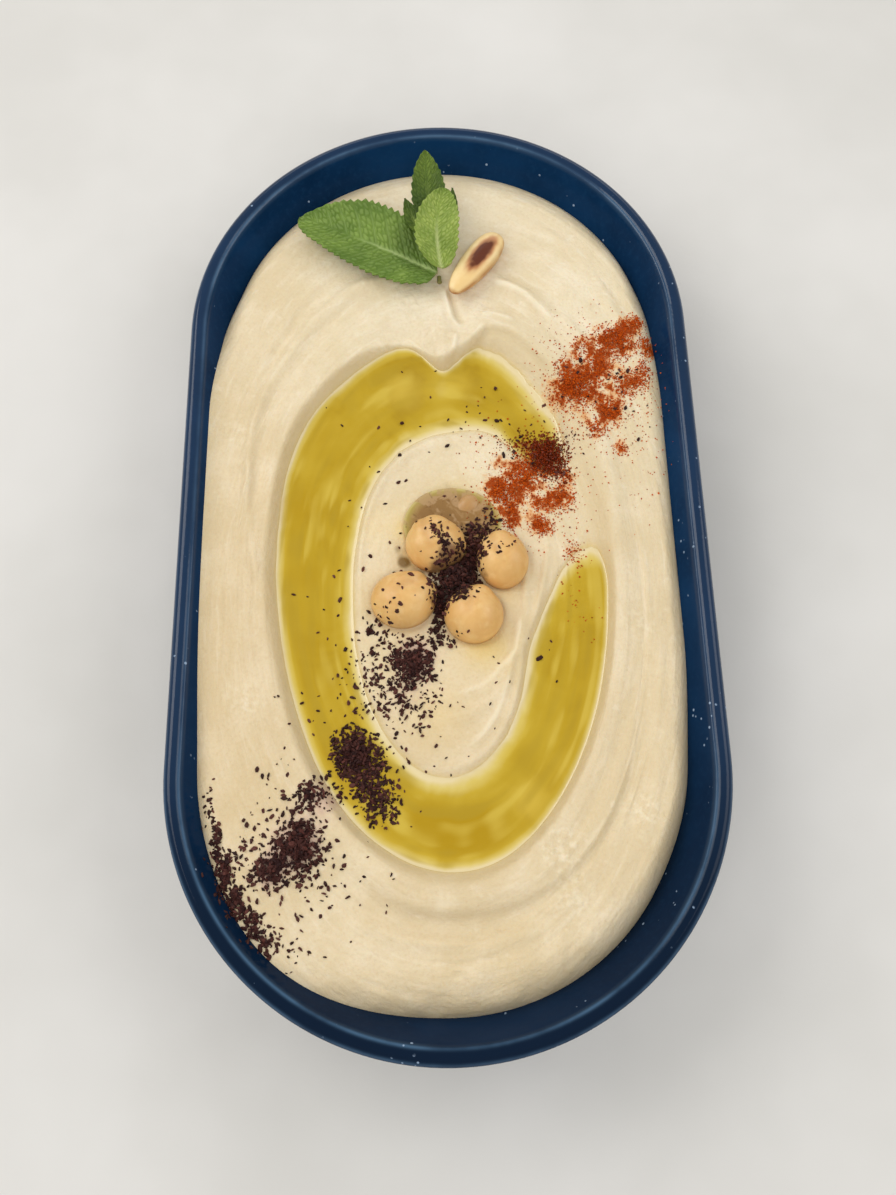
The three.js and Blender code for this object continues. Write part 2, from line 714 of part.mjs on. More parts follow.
const hummusLook = { color: 0xe6d6b0, roughness: 0.55 }
const oilLook = { color: 0xc4a233, roughness: 0.08 }
const mintLook = { color: 0x5f7f35, roughness: 0.6 }

function addPiece(group, name, geometry, look) {
  geometry.computeVertexNormals()
  const mesh = new THREE.Mesh(geometry, new THREE.MeshStandardMaterial({ metalness: 0, ...look }))
  mesh.name = name
  group.add(mesh)
}

const plate = new THREE.Group()
addPiece(plate, 'dish', buildDish(), { color: 0x1d3a5c, roughness: 0.15 })
addPiece(plate, 'hummus', buildHummus(), hummusLook)
addPiece(plate, 'oil_ring', buildOilRing(), oilLook)
addPiece(plate, 'oil_pool', buildOilPool(), oilLook)
chickpeas.forEach((pea, i) => {
  addPiece(plate, `chickpea_${i + 1}`, chickpeaGeometry(pea), { color: 0xe8bb7a, roughness: 0.5 })
})
for (const leaf of leaves) {
  addPiece(plate, `mint_leaf_${leaf.name}`, leafGeometry(leaf), mintLook)
}
addPiece(plate, 'mint_stem', stemGeometry(), { color: 0x77753c, roughness: 0.6 })
addPiece(plate, 'pine_nut', nutGeometry(), { color: 0xdcae72, roughness: 0.45 })

export default plate
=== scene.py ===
# Hummus in an oval stoneware dish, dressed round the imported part.
# Heights in the shape code are millimetres from the dish's rim, and metres once a mesh is made.

import math

import bmesh
import bpy
import numpy as np
from mathutils import Euler, Matrix, Vector
from mathutils.bvhtree import BVHTree


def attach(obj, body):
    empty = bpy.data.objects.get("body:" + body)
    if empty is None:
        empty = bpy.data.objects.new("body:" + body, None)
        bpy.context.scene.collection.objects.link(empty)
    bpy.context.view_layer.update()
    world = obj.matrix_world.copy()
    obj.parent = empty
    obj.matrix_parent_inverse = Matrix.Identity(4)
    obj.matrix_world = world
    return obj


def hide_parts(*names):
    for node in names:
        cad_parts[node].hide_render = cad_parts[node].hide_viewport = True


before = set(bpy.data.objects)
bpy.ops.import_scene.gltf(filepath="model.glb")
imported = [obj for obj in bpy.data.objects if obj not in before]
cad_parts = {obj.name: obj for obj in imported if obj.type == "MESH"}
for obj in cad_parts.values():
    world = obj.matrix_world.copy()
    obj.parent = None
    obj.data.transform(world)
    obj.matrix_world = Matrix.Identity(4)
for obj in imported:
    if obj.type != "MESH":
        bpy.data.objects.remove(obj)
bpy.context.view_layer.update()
print("frame loaded")

body = "root"
rim = 32.0
dishSize = {"halfWidth": 52.5, "halfStraight": 47.5, "lip": 3.2, "lean": 0.5, "floorTop": 4.2}


def smooth(start, end, value):
    t = np.clip((value - start) / (end - start), 0, 1)
    return t * t * (3 - 2 * t)


def lobe(turn, centre, width):  # a bell round one direction of the circle
    away = np.mod(turn - centre + 540, 360) - 180
    return np.exp(-(away / width) ** 2)


def bell(distance, width):
    return np.exp(-(distance / width) ** 2)


def lattice(column, row, seed):  # a repeatable number from 0 to 1 for each lattice corner
    n = (column.astype(np.int64) * 374761393 + row.astype(np.int64) * 668265263 + seed * 69069) & 0xffffffff
    n = ((n ^ (n >> 13)) * 1274126177) & 0xffffffff
    return ((n ^ (n >> 16)) & 0xffffff) / 0xffffff


def ripple(u, v, seed, wrap=0):  # smooth noise from -1 to 1; wrap makes it repeat along u
    column, row = np.floor(u), np.floor(v)
    fu, fv = u - column, v - row
    fu, fv = fu * fu * (3 - 2 * fu), fv * fv * (3 - 2 * fv)
    after = column + 1
    if wrap:
        column, after = np.mod(column, wrap), np.mod(after, wrap)
    low = lattice(column, row, seed) * (1 - fu) + lattice(after, row, seed) * fu
    high = lattice(column, row + 1, seed) * (1 - fu) + lattice(after, row + 1, seed) * fu
    return 2 * (low * (1 - fv) + high * fv) - 1


def fromSpine(x, y):  # distance from the dish's straight middle line
    return np.hypot(x, np.maximum(np.abs(y) - dishSize["halfStraight"], 0))


def paint(red, green, blue):  # a screen colour as the renderer's linear one
    def linear(c):
        c = c / 255
        return c / 12.92 if c <= 0.04045 else ((c + 0.055) / 1.055) ** 2.4
    return (linear(red), linear(green), linear(blue), 1)


def newPiece(name, corners, faces, look, marks=None, rounded=True):
    # corners in millimetres from the rim; faces as arrays of quads or triangles; marks are point attributes
    corners = np.asarray(corners, float).reshape(-1, 3) + (0, 0, rim)
    faceList = [f for block in faces for f in np.asarray(block).reshape(len(block), -1).tolist()]
    volume = 0
    for block in faces:
        block = np.asarray(block)
        for k in range(1, block.shape[1] - 1):
            a, b, c = (corners[block[:, i]] for i in (0, k, k + 1))
            volume += np.einsum("ij,ij->i", a, np.cross(b, c)).sum()
    if volume < 0:
        faceList = [f[::-1] for f in faceList]
    mesh = bpy.data.meshes.new(name)
    mesh.from_pydata((corners * 0.001).tolist(), [], faceList)
    mesh.polygons.foreach_set("use_smooth", [rounded] * len(mesh.polygons))
    for mark, values in (marks or {}).items():
        layer = mesh.attributes.new(mark, "FLOAT", "POINT")
        layer.data.foreach_set("value", np.asarray(values, np.float32).ravel())
    mesh.materials.append(look)
    piece = bpy.data.objects.new(name, mesh)
    bpy.context.scene.collection.objects.link(piece)
    return piece


def dress(piece, slotName, *nodes):
    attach(piece, body)
    if nodes:
        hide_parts(*nodes)


class LookMaker:  # builds one material with short calls

    def __init__(self, name, roughness, specular=0.5):
        self.look = bpy.data.materials.new(name)
        self.look.use_nodes = True
        self.nodes = self.look.node_tree.nodes
        self.links = self.look.node_tree.links
        self.shader = self.nodes["Principled BSDF"]
        self.shader.inputs["Roughness"].default_value = roughness
        self.shader.inputs["Specular IOR Level"].default_value = specular
        self.place = self.nodes.new("ShaderNodeTexCoord").outputs["Object"]

    def join(self, source, target):
        self.links.new(source, target)

    def noise(self, scale, detail=3, rough=0.55, twist=0.0, stretch=None):
        node = self.nodes.new("ShaderNodeTexNoise")
        node.inputs["Scale"].default_value = scale
        node.inputs["Detail"].default_value = detail
        node.inputs["Roughness"].default_value = rough
        node.inputs["Distortion"].default_value = twist
        self.join(self.stretched(stretch), node.inputs["Vector"])
        return node.outputs["Fac"]

    def drawnNoise(self, mark, across, along, detail=3, rough=0.6):  # noise drawn out along a mark's lines
        parts, whole = self.nodes.new("ShaderNodeSeparateXYZ"), self.nodes.new("ShaderNodeCombineXYZ")
        self.join(self.place, parts.inputs[0])
        self.join(self.times(self.mark(mark), across), whole.inputs[0])
        self.join(self.times(parts.outputs[0], along), whole.inputs[1])
        self.join(self.times(parts.outputs[1], along), whole.inputs[2])
        node = self.nodes.new("ShaderNodeTexNoise")
        for label, value in (("Scale", 1), ("Detail", detail), ("Roughness", rough), ("Distortion", 0.4)):
            node.inputs[label].default_value = value
        self.join(whole.outputs[0], node.inputs["Vector"])
        return node.outputs["Fac"]

    def cells(self, scale):  # distance from the nearest of many scattered spots
        node = self.nodes.new("ShaderNodeTexVoronoi")
        node.inputs["Scale"].default_value = scale
        self.join(self.place, node.inputs["Vector"])
        return node.outputs["Distance"]

    def stretched(self, stretch):
        if stretch is None:
            return self.place
        node = self.nodes.new("ShaderNodeMapping")
        node.inputs["Scale"].default_value = stretch
        self.join(self.place, node.inputs["Vector"])
        return node.outputs["Vector"]

    def mark(self, name):
        node = self.nodes.new("ShaderNodeAttribute")
        node.attribute_name = name
        return node.outputs["Fac"]

    def remap(self, source, start, end, low=0.0, high=1.0):
        node = self.nodes.new("ShaderNodeMapRange")
        node.interpolation_type = "SMOOTHSTEP"
        for socket, value in zip(("From Min", "From Max", "To Min", "To Max"), (start, end, low, high)):
            node.inputs[socket].default_value = value
        self.join(source, node.inputs["Value"])
        return node.outputs["Result"]

    def sums(self, operation, first, second):
        node = self.nodes.new("ShaderNodeMath")
        node.operation = operation
        for socket, value in zip(node.inputs, (first, second)):
            if hasattr(value, "is_output"):
                self.join(value, socket)
            else:
                socket.default_value = value
        return node.outputs["Value"]

    def times(self, first, second):
        return self.sums("MULTIPLY", first, second)

    def plus(self, first, second):
        return self.sums("ADD", first, second)

    def soften(self, weight, radius):  # light that passes a little way into the piece
        self.shader.inputs["Subsurface Weight"].default_value = weight
        self.shader.inputs["Subsurface Radius"].default_value = radius
        self.shader.inputs["Subsurface Scale"].default_value = 1.0

    def ramp(self, source, stops):
        node = self.nodes.new("ShaderNodeValToRGB")
        bar = node.color_ramp.elements
        while len(bar) < len(stops):
            bar.new(0.5)
        for element, (position, colour) in zip(bar, stops):
            element.position = position
            element.color = paint(*colour)
        self.join(source, node.inputs["Fac"])
        return node.outputs["Color"]

    def mix(self, amount, first, second, blend="MIX"):
        node = self.nodes.new("ShaderNodeMix")
        node.data_type = "RGBA"
        node.blend_type = blend
        for index, value in ((0, amount), (6, first), (7, second)):
            if hasattr(value, "is_output"):
                self.join(value, node.inputs[index])
            else:
                node.inputs[index].default_value = paint(*value) if isinstance(value, tuple) else value
        return node.outputs[2]

    def bump(self, height, distance, strength=1.0, under=None):
        node = self.nodes.new("ShaderNodeBump")
        node.inputs["Strength"].default_value = strength
        node.inputs["Distance"].default_value = distance
        self.join(height, node.inputs["Height"])
        if under is not None:
            self.join(under, node.inputs["Normal"])
        return node.outputs["Normal"]

    def finish(self, colour, normal=None, roughness=None):
        self.join(colour, self.shader.inputs["Base Color"])
        if normal is not None:
            self.join(normal, self.shader.inputs["Normal"])
        if roughness is not None:
            self.join(roughness, self.shader.inputs["Roughness"])
        return self.look


swirl = {"x": -0.3, "y": -11.6, "halfWidth": 33.6, "halfLength": 56.3}
level = {"mound": -4.5, "floor": -9.0, "crest": -2.6, "bed": -3.4, "oil": -5.7, "pool": -4.9, "bridge": -4.7}
crestDip = 1.9
pit = {"x": 2, "y": 2.4, "halfWidth": 10.5, "halfLength": 8.5, "depth": -9.4}
heapPlaces = [  # x, y, spread, height
    (-28, -61, 4.6, 0.9), (-33, -66.5, 4.2, 0.5), (-5.8, -25.6, 3.6, 0.7), (-8, -32, 4.6, 0.2),
    (29.5, 34.5, 2.6, 0.7), (37.5, 43.4, 2.6, 0.5), (22, 17.6, 2.2, 0.6), (14.5, 9.6, 2.6, 0.4),
    (19.5, 2.5, 2.6, 0.3),
]


def swirlPlace(x, y):  # elliptical distance and direction from the swirl's middle
    u = (x - swirl["x"]) / swirl["halfWidth"]
    v = (y - swirl["y"]) / swirl["halfLength"]
    return np.hypot(u, v), np.degrees(np.arctan2(v, u))


def swirlPoint(q, turn):
    angle = np.radians(turn)
    return (swirl["x"] + swirl["halfWidth"] * q * np.cos(angle),
            swirl["y"] + swirl["halfLength"] * q * np.sin(angle))


def swirlLines(turn):
    crest = (1.016 + 0.141 * lobe(turn, 48, 30) - 0.112 * lobe(turn, 88, 9)
             + 0.028 * lobe(turn, 66, 12) + 0.023 * lobe(turn, 113, 14) + 0.108 * lobe(turn, 145, 26)
             + 0.023 * lobe(turn, 180, 18) + 0.029 * lobe(turn, -78, 26))
    shore = (0.6 + 0.117 * lobe(turn, 50, 30) - 0.073 * lobe(turn, 178, 38)
             + 0.072 * lobe(turn, -88, 36) - 0.054 * lobe(turn, -26, 18) + 0.05 * lobe(turn, 14, 14))
    wall = (0.095 + 0.255 * lobe(turn, 50, 22) - 0.05 * lobe(turn, 96, 18)
            + 0.075 * lobe(turn, -175, 42) + 0.03 * lobe(turn, -90, 34))
    floorOut = crest - wall
    return crest, shore, floorOut, np.minimum(shore + 0.11, floorOut - 0.03)


def bridge(q, turn):
    bend = 200 * (q - 0.87) ** 2
    return smooth(2, 13, turn + bend) * (1 - smooth(30, 42, turn - bend))


def moundRidges(q, turn):
    shore = swirlLines(turn)[1]
    shoulder = 0.5 * bell(q - shore + 0.03, 0.022)
    near = smooth(-100, -80, turn) * (1 - smooth(5, 22, turn))
    left = smooth(80, 100, turn) * (1 - smooth(165, 179, turn))
    inner = 0.45 + 0.045 * np.cos(np.radians(turn + 20))
    return shoulder * np.maximum(near, left) * 1.2 + 0.6 * near * bell(q - inner, 0.03)


def outerTurns(q, turn):
    farLine = 1.35 - 0.3 * smooth(140, 190, turn)
    far = smooth(30, 45, turn) * (1 - smooth(175, 180, turn))
    nearLine = 1.13 + 0.09 * smooth(-90, -40, turn)
    near = smooth(-118, -95, turn) * (1 - smooth(-40, -22, turn))
    bead = smooth(nearLine - 0.1, nearLine - 0.06, q) * (1 - smooth(nearLine - 0.025, nearLine + 0.005, q))
    return (far * (0.7 * bell(q - farLine, 0.035) - 0.3 * bell(q - farLine + 0.09, 0.05))
            + near * (0.7 * bead - 0.3 * bell(q - nearLine - 0.015, 0.018)))


def tongue(x, y):
    along = smooth(27, 34, y) * (1 - smooth(50, 60, y))
    return along * (1.1 * bell(x - 0.6, 2.6) - 0.4 * bell(x + 5.2, 3) - 0.3 * bell(x - 6.4, 3))


def dishTurn(x, y):
    return np.degrees(np.arctan2(y / 100, x / dishSize["halfWidth"]))


def contactDepth(x, y):  # how far below the rim the hummus meets the wall
    turn = dishTurn(x, y)
    sides = 3.9 + 1.4 * np.cos(np.radians(turn))
    farEnd = smooth(18, 38, turn) * (1 - smooth(142, 163, turn))
    nearEnd = smooth(-136, -90, turn) * (1 - smooth(-44, -14, turn))
    return sides + (8.2 - sides) * farEnd + (10.1 - sides) * nearEnd + 2.4 * lobe(turn, -145, 16)


def roomInside(x, y, depth=None):  # how far inside the wall a spot is, at a depth or on the surface
    if depth is None:
        depth = contactDepth(x, y)
    return dishSize["halfWidth"] - dishSize["lip"] - dishSize["lean"] * depth - fromSpine(x, y)


def hummusTop(x, y):
    q, turn = swirlPlace(x, y)
    crest, shore, floorOut, floorIn = swirlLines(turn)
    bed = level["bed"] - 1.4 * smooth(58, 86, y) - 1.2 * smooth(60, 82, -y)
    floor = level["floor"] + (level["bridge"] - level["floor"]) * bridge(q, turn)
    z = level["mound"] + (floor - level["mound"]) * smooth(shore - 0.05, floorIn, q)
    top = level["crest"] - crestDip * lobe(turn, 101, 12)
    z = z + (top - floor) * smooth(floorOut, crest, q)
    z = z + (bed - top) * smooth(crest + 0.02, crest + 0.13, q)
    z = z + moundRidges(q, turn) + outerTurns(q, turn) + tongue(x, y)
    for px, py, spread, height in heapPlaces:
        z = z + height * bell(np.hypot(x - px, y - py), spread)
    pitEdge = np.hypot((x - pit["x"]) / pit["halfWidth"], (y - pit["y"]) / pit["halfLength"])
    z = z + (pit["depth"] - level["mound"]) * (1 - smooth(0.62, 1, pitEdge))
    depth = contactDepth(x, y)
    bank = 3.2 + 5 * lobe(dishTurn(x, y), -90, 42) + 7 * lobe(dishTurn(x, y), 90, 42)
    t = np.clip(roomInside(x, y) / bank, -0.4, 1)
    return -depth + (z + depth) * (1 - (1 - t) ** 2.2)


hummusValues = {
    "turnSteps": 560, "ringSteps": (44, 18, 14, 20, 12, 40, 20), "overlap": 0.3,
    "bedSmears": 0.2, "troughSmears": 0.32, "moundSmears": 0.14, "lumps": 0.22, "shoreLumps": 0.16,
    "pits": 150, "pitDepth": 0.32, "foot": 4.45,
    "cream": (229, 212, 176), "creamPale": (240, 226, 196), "creamDeep": (219, 201, 162),
    "troughShadeTint": (214, 192, 146), "filmTint": (232, 199, 106), "puddle": (116, 82, 14),
    "paprikaHalo": (228, 164, 100), "paprikaCore": (158, 60, 4), "sumacTint": (196, 158, 146),
    "sumacCore": (92, 58, 50), "soak": (40, 24, 19), "paintedShadeTint": (242, 234, 221),
    "fleckDeep": (218, 194, 150), "fleckPale": (248, 238, 216), "drawnPale": (246, 235, 211),
    # ridgeHighlight is a painted highlight and hollow a painted shade
    "ridgeHighlight": (250, 239, 212), "hollow": (204, 184, 142),
}
chance = np.random.default_rng(7)
pitPlaces = np.column_stack([
    chance.uniform(-48, 48, hummusValues["pits"]), chance.uniform(-92, 92, hummusValues["pits"]),
    chance.uniform(0.3, 0.75, hummusValues["pits"]), chance.uniform(0.35, 1, hummusValues["pits"])])


foldLines = [  # points of a fold, its width, its height, how deep it is hollowed on its left
    (((1.2, 58.6), (1.9, 56.2), (2.4, 53.4), (3.1, 50.3), (4.2, 48.7), (5.8, 47.9)), 0.6, 0.62, 0.5),
    (((3.9, 46.6), (3.6, 44.2), (3.1, 41.4)), 0.6, 0.4, 0),
    (((10.2, 49), (8.4, 46.3), (6.8, 44.7), (4.9, 42.6), (3, 39.4)), 0.8, 0.4, 0.6),
    (((25.4, 35), (23.5, 38.7), (21.3, 41.6), (18.4, 44.5), (15.4, 47.1), (12.4, 48.3), (8.6, 47.6)),
     0.75, 0.36, 0.4),
    (((8.8, 51), (11, 51.3), (13.6, 50.6), (17, 49)), 0.9, 0.4, 0.25),
    (((11, 60), (15.3, 58.4), (18.9, 56.1), (22.4, 52), (26.2, 46.8)), 0.9, 0.52, 0.42),
    (((-7.4, 46.8), (-5.6, 45.6), (-4, 43.4), (-2.4, 41.4), (0, 39.6)), 0.55, 0.3, 0.1),
    (((15.1, -15), (14.8, -18.9), (14.3, -21.7), (13.6, -24.8), (11.5, -27.4), (9.5, -29.7), (7.2, -31.7),
      (3, -33.2), (-1, -33.6)), 0.75, 0.42, 0.3),
    (((13.6, -24.5), (12.8, -26.8), (12, -30.8), (10.9, -34.4), (9.5, -37.7), (7.2, -40.9), (4.6, -43.1),
      (0, -45.6)), 0.75, 0.42, 0.3),
    (((-20, 58), (-12, 60.6), (-4, 59)), 1.2, 0.3, 0.25),
    (((-2.4, 47.6), (-7.5, 48.6), (-13, 50.6), (-20, 53.6)), 1.1, 0.3, 0.3),
    (((-24, 62), (-30, 55), (-36, 44), (-39, 33)), 1.2, 0.42, 0.4),
    (((30, 66), (35.5, 58), (40, 47), (43, 36)), 1.3, 0.4, 0.35),
    (((-38, 20), (-40.5, 8), (-41, -6), (-40, -20)), 1.3, 0.4, 0.4),
    (((34, -66), (38.5, -52), (40.5, -36), (41.5, -18)), 1.3, 0.38, 0.35),
    (((-20, -74), (-8, -79), (6, -80), (20, -76)), 1.3, 0.36, 0.35),
    (((-7.5, 14), (-9, 20), (-6, 27), (0, 31)), 1.2, 0.22, 0.2),
]


crumples = [  # where the spoon left it rough: x, y, spread, height
    (20, -63, 4.5, 0.3), (22, -72, 4, 0.22), (36.3, -56.8, 4, 0.24), (-4.4, 53.2, 4, 0.24),
    (0.1, 46.5, 3.6, 0.2), (9, 51.6, 3, 0.26), (-11.6, 43.6, 3.4, 0.2), (-42, 24, 3.4, 0.2),
    (38, -20, 3.4, 0.18), (-38, -34, 4, 0.18),
]


def foldHeight(x, y, points, width, height, hollow):
    near, offset, along = np.full_like(x, 99.0), np.zeros_like(x), np.zeros_like(x)
    count = len(points) - 1
    for i, ((ax, ay), (bx, by)) in enumerate(zip(points, points[1:])):
        dx, dy = bx - ax, by - ay
        t = np.clip(((x - ax) * dx + (y - ay) * dy) / (dx * dx + dy * dy), 0, 1)
        away = np.hypot(x - ax - t * dx, y - ay - t * dy)
        closer = away < near
        near = np.where(closer, away, near)
        offset = np.where(closer, np.sign((x - ax) * dy - (y - ay) * dx) * away, offset)
        along = np.where(closer, (i + t) / count, along)
    fade = smooth(0, 0.18, along) * (1 - smooth(0.8, 1, along))
    waver = 1 + 0.35 * ripple(x / 4 + 3, y / 4 + 7, 12)
    return fade * waver * (height * bell(offset, width) - hollow * bell(offset + 1.9 * width, 1.4 * width))


def allFolds(x, y, widest=9):
    return sum(foldHeight(x, y, *fold) for fold in foldLines if fold[1] <= widest)


def relief(x, y):  # what the spoon left at a small scale
    x, y = np.asarray(x, float), np.asarray(y, float)
    q, turn = swirlPlace(x, y)
    crest, shore, floorOut, floorIn = swirlLines(turn)
    around = turn / 360 + 0.5
    inTrough = smooth(shore - 0.05, floorIn, q) * (1 - smooth(floorOut, crest, q))
    outside = smooth(crest, crest + 0.1, q)
    smears = (0.45 * ripple(around * 14, q * 22, 3, 14) + 0.35 * ripple(around * 30, q * 52, 4, 30)
              + 0.35 * ripple(around * 22, q * 95, 6, 22))
    strength = (hummusValues["troughSmears"] * inTrough + hummusValues["bedSmears"] * outside
                + hummusValues["moundSmears"] * (1 - inTrough) * (1 - outside))
    z = smears * strength * smooth(0.1, 0.4, q)
    rough = 0.5 + 0.5 * outside
    z = z + hummusValues["lumps"] * rough * ripple(x / 9 + 5, y / 9, 5)
    z = z + 0.4 * hummusValues["lumps"] * rough * ripple(x / 3.4, y / 3.8, 6)
    z = z + 0.2 * hummusValues["lumps"] * rough * ripple(x / 1.6, y / 1.8, 8)
    atShore = bell(q - crest + 0.5 * (crest - floorOut), 0.05) * lobe(turn, 80, 40)
    beads = ripple(x / 1.1, y / 1.1, 10) + 0.8 * ripple(x / 2.3, y / 2.3, 11)
    z = z + hummusValues["shoreLumps"] * atShore * beads
    bank = lobe(dishTurn(x, y), -90, 45) * (1 - smooth(4, 14, roomInside(x, y)))
    z = z + 0.24 * bank * ripple(x / 1.9, y / 4.5, 9)
    z = z + allFolds(x, y)
    for px, py, spread, height in crumples:
        near = bell(np.hypot(x - px, y - py), spread)
        crumbs = 0.7 * ripple(x / 1.2 + px, y / 1.3, 61) + 0.5 * ripple(x / 0.7, y / 0.7 + py, 62)
        z = z + height * near * crumbs
    for px, py, radius, depth in pitPlaces:
        away = np.hypot(x - px, y - py) / radius
        z = z - hummusValues["pitDepth"] * depth * (bell(away, 1) - 0.35 * bell(away - 1.6, 0.5)) * outside
    crater = np.hypot((x + 41.1) / 1.7, (y - 13.4) / 2.6)
    z = z - 0.6 * bell(crater, 0.8) + 0.3 * bell(crater - 1.3, 0.4)
    return z * smooth(-0.2, 1.6, roomInside(x, y))


chickpeas = [  # x, y, z, radius, stretch, direction of the beak
    (-1.5, -2.7, -3.4, 5.7, (1.09, 0.98, 0.96), (-0.2, 0.75, 0.62)),
    (11.8, -6.4, -3.4, 5.4, (0.98, 1.08, 0.96), (-0.35, 0.85, 0.4)),
    (-7.9, -14.3, -3.5, 5.8, (1.12, 1, 0.95), (0.72, 0.6, 0.3)),
    (5.9, -17.7, -3.6, 5.5, (1.09, 1.04, 0.96), (0.05, 0.95, 0.3)),
    (4.7, 6.8, -9.8, 5.1, (1, 1, 1), (0.4, 0.3, 0.86)),
]
nut = {"x": 8.5, "y": 62.6, "length": 18, "width": 6.9, "height": 5, "turn": 54, "lift": 1.8}
heapOfSumac = {"x": 2.5, "y": -10.4, "across": 3.1, "along": 3.6, "height": 2.3}


def fineTop(x, y):  # the surface with its relief and the dents that the toppings press
    z = hummusTop(x, y) + relief(x, y)
    for px, py, pz, radius, stretch, beak in chickpeas[:4]:
        z = z - 0.45 * bell(np.hypot(x - px, y - py) - radius * 0.97, 0.8)
    heap = np.hypot((x - heapOfSumac["x"]) / heapOfSumac["across"],
                    (y - heapOfSumac["y"]) / heapOfSumac["along"])
    return z + heapOfSumac["height"] * bell(heap, 1) * (1 + 0.3 * ripple(x / 0.8, y / 0.8, 14))


def wallQ(turn, room, depth=None):  # where a direction of the swirl reaches the wall
    inner, outer = np.full_like(turn, 1.0), np.full_like(turn, 2.8)
    for _ in range(34):
        middle = (inner + outer) / 2
        x, y = swirlPoint(middle, turn)
        left = roomInside(x, y, depth)
        inner, outer = np.where(left > room, middle, inner), np.where(left > room, outer, middle)
    return inner


def ringsFine(turn):
    crest, shore, floorOut, floorIn = swirlLines(turn)
    wall = wallQ(turn, -hummusValues["overlap"])
    shoulder = np.maximum(wallQ(turn, 7), crest + 0.17)
    stops = [0 * turn, shore - 0.07, floorIn, floorOut, crest + 0.03, crest + 0.14, shoulder, wall]
    rings = []
    for start, end, steps in zip(stops, stops[1:], hummusValues["ringSteps"]):
        for i in range(1, steps + 1):
            rings.append(start + (end - start) * i / steps)
    return np.stack(rings, 1)


def gridFaces(rows, columns, closed, first=0):  # quads of a grid of points, row by row
    near = np.arange(rows if closed else rows - 1)
    far = (near + 1) % rows
    j = np.arange(columns - 1)
    a = first + near[:, None] * columns + j
    b = first + far[:, None] * columns + j
    return np.stack([a, a + 1, b + 1, b], -1).reshape(-1, 4)


def borderFaces(rows, columns, below):  # strips that join a grid's border to the same grid below it
    strips = []
    for column in (0, columns - 1):
        a = np.arange(rows - 1) * columns + column
        block = np.stack([a, a + columns, a + columns + below, a + below], -1)
        strips.append(block if column == 0 else block[:, ::-1])
    for row in (0, rows - 1):
        a = row * columns + np.arange(columns - 1)
        block = np.stack([a, a + below, a + 1 + below, a + 1], -1)
        strips.append(block if row == 0 else block[:, ::-1])
    return strips


def tubeFaces(rings, sides):  # walls between rings of points, then a fan to one more point at each end
    start = np.arange(rings - 1)[:, None] * sides
    ring = np.arange(sides)
    nxt = (ring + 1) % sides
    walls = [start + ring, start + nxt, start + sides + nxt, start + sides + ring]
    total, last = rings * sides, (rings - 1) * sides
    return [np.stack(walls, -1).reshape(-1, 4), np.stack([np.full(sides, total), nxt, ring], -1),
            np.stack([np.full(sides, total + 1), last + ring, last + nxt], -1)]


def patchMarks(x, y, places, most=1):
    total = np.zeros_like(x)
    for px, py, spread, strength in places:
        total = total + strength * bell(np.hypot(x - px, y - py), spread)
    return np.clip(total, 0, most)


paprikaStains = [  # x, y, spread, strength
    (28.4, 32.2, 4.8, 1.6), (37.4, 43.4, 4.6, 1.5), (35.6, 26.6, 3.2, 1.2), (38.9, 32.7, 3.2, 1.05),
    (32.1, 22.2, 2.8, 0.85), (44.4, 42.1, 2.6, 1.2), (37.2, 18.1, 1.9, 0.9), (42.4, 34, 2.6, 0.9),
    (30.2, 42.2, 2.2, 0.85), (33.4, 36.6, 3, 0.8), (42.6, 48.8, 2.2, 0.9), (26.4, 37.8, 2.2, 0.75),
    (40.6, 47.2, 2.2, 0.8), (32.6, 39.2, 2.4, 0.8), (21.9, 17.6, 3, 1.2), (17.6, 20.6, 2.4, 0.7),
    (13.0, 8.9, 3.7, 1.6), (17.0, 12.8, 3.8, 1.4), (12.2, 15.6, 2.2, 0.7), (9.6, 11.6, 1.8, 0.7),
    (24, 8.2, 3, 1.1), (20.4, 6.4, 2.6, 0.9), (13.8, 3.4, 2.2, 1.2), (20.2, 1.4, 2.5, 1.1),
    (25.4, 12.4, 2.2, 0.7), (26.3, -4.4, 2.2, 0.6), (33, 35, 11, 0.26), (27, 22, 8, 0.14), (18, 9, 9, 0.36),
]
sumacStains = [
    (-27.3, -62.1, 2.6, 0.8), (-32.4, -66.1, 1.9, 0.7), (-6.3, -26.6, 2.4, 0.75), (-20.6, -47, 2.2, 0.5),
    (-17.7, -44.5, 5, 0.9), (-27.9, -61, 5, 1), (-33, -66.3, 3.6, 0.8), (-5.8, -25.5, 4.2, 0.85),
    (-23, -53, 4, 0.75), (-7, -33, 5, 0.5), (-12.7, -52.6, 4, 0.6), (7, 0.5, 2.6, 0.55),
]
soakPlaces = [  # dark and wet where sumac has soaked in
    (2.6, -10.4, 3.4, 1.5), (5.6, -4.2, 2.1, 1.1), (7.4, 0.4, 1.7, 0.7), (-0.6, -15.2, 1.8, 1.0),
    (-0.9, -20, 1.3, 0.5), (9.4, 1.8, 1.2, 0.35),
]
filmPlaces = [
    (7.6, -23.4, 4.6, 0.85), (-4, 4, 4.5, 0.4), (3, 8, 4.5, 0.4), (-7.4, 1, 2.6, 0.7), (-6, -5, 3, 0.7),
    (8, -24, 8, 0.15), (12, -12.4, 3, 0.4), (-14, 2, 5, 0.32), (-14, -14, 5, 0.3), (-2, -37, 6, 0.3),
    (-9, -26, 6, 0.25), (15.6, -8, 3, 0.25),
]
puddlePlaces = [(-7.8, -5.8, 1.5, 1.1), (-9, -2.8, 1.2, 0.6), (-4.6, -8.4, 1.4, 0.7), (1.2, 10.8, 1.6, 0.4)]


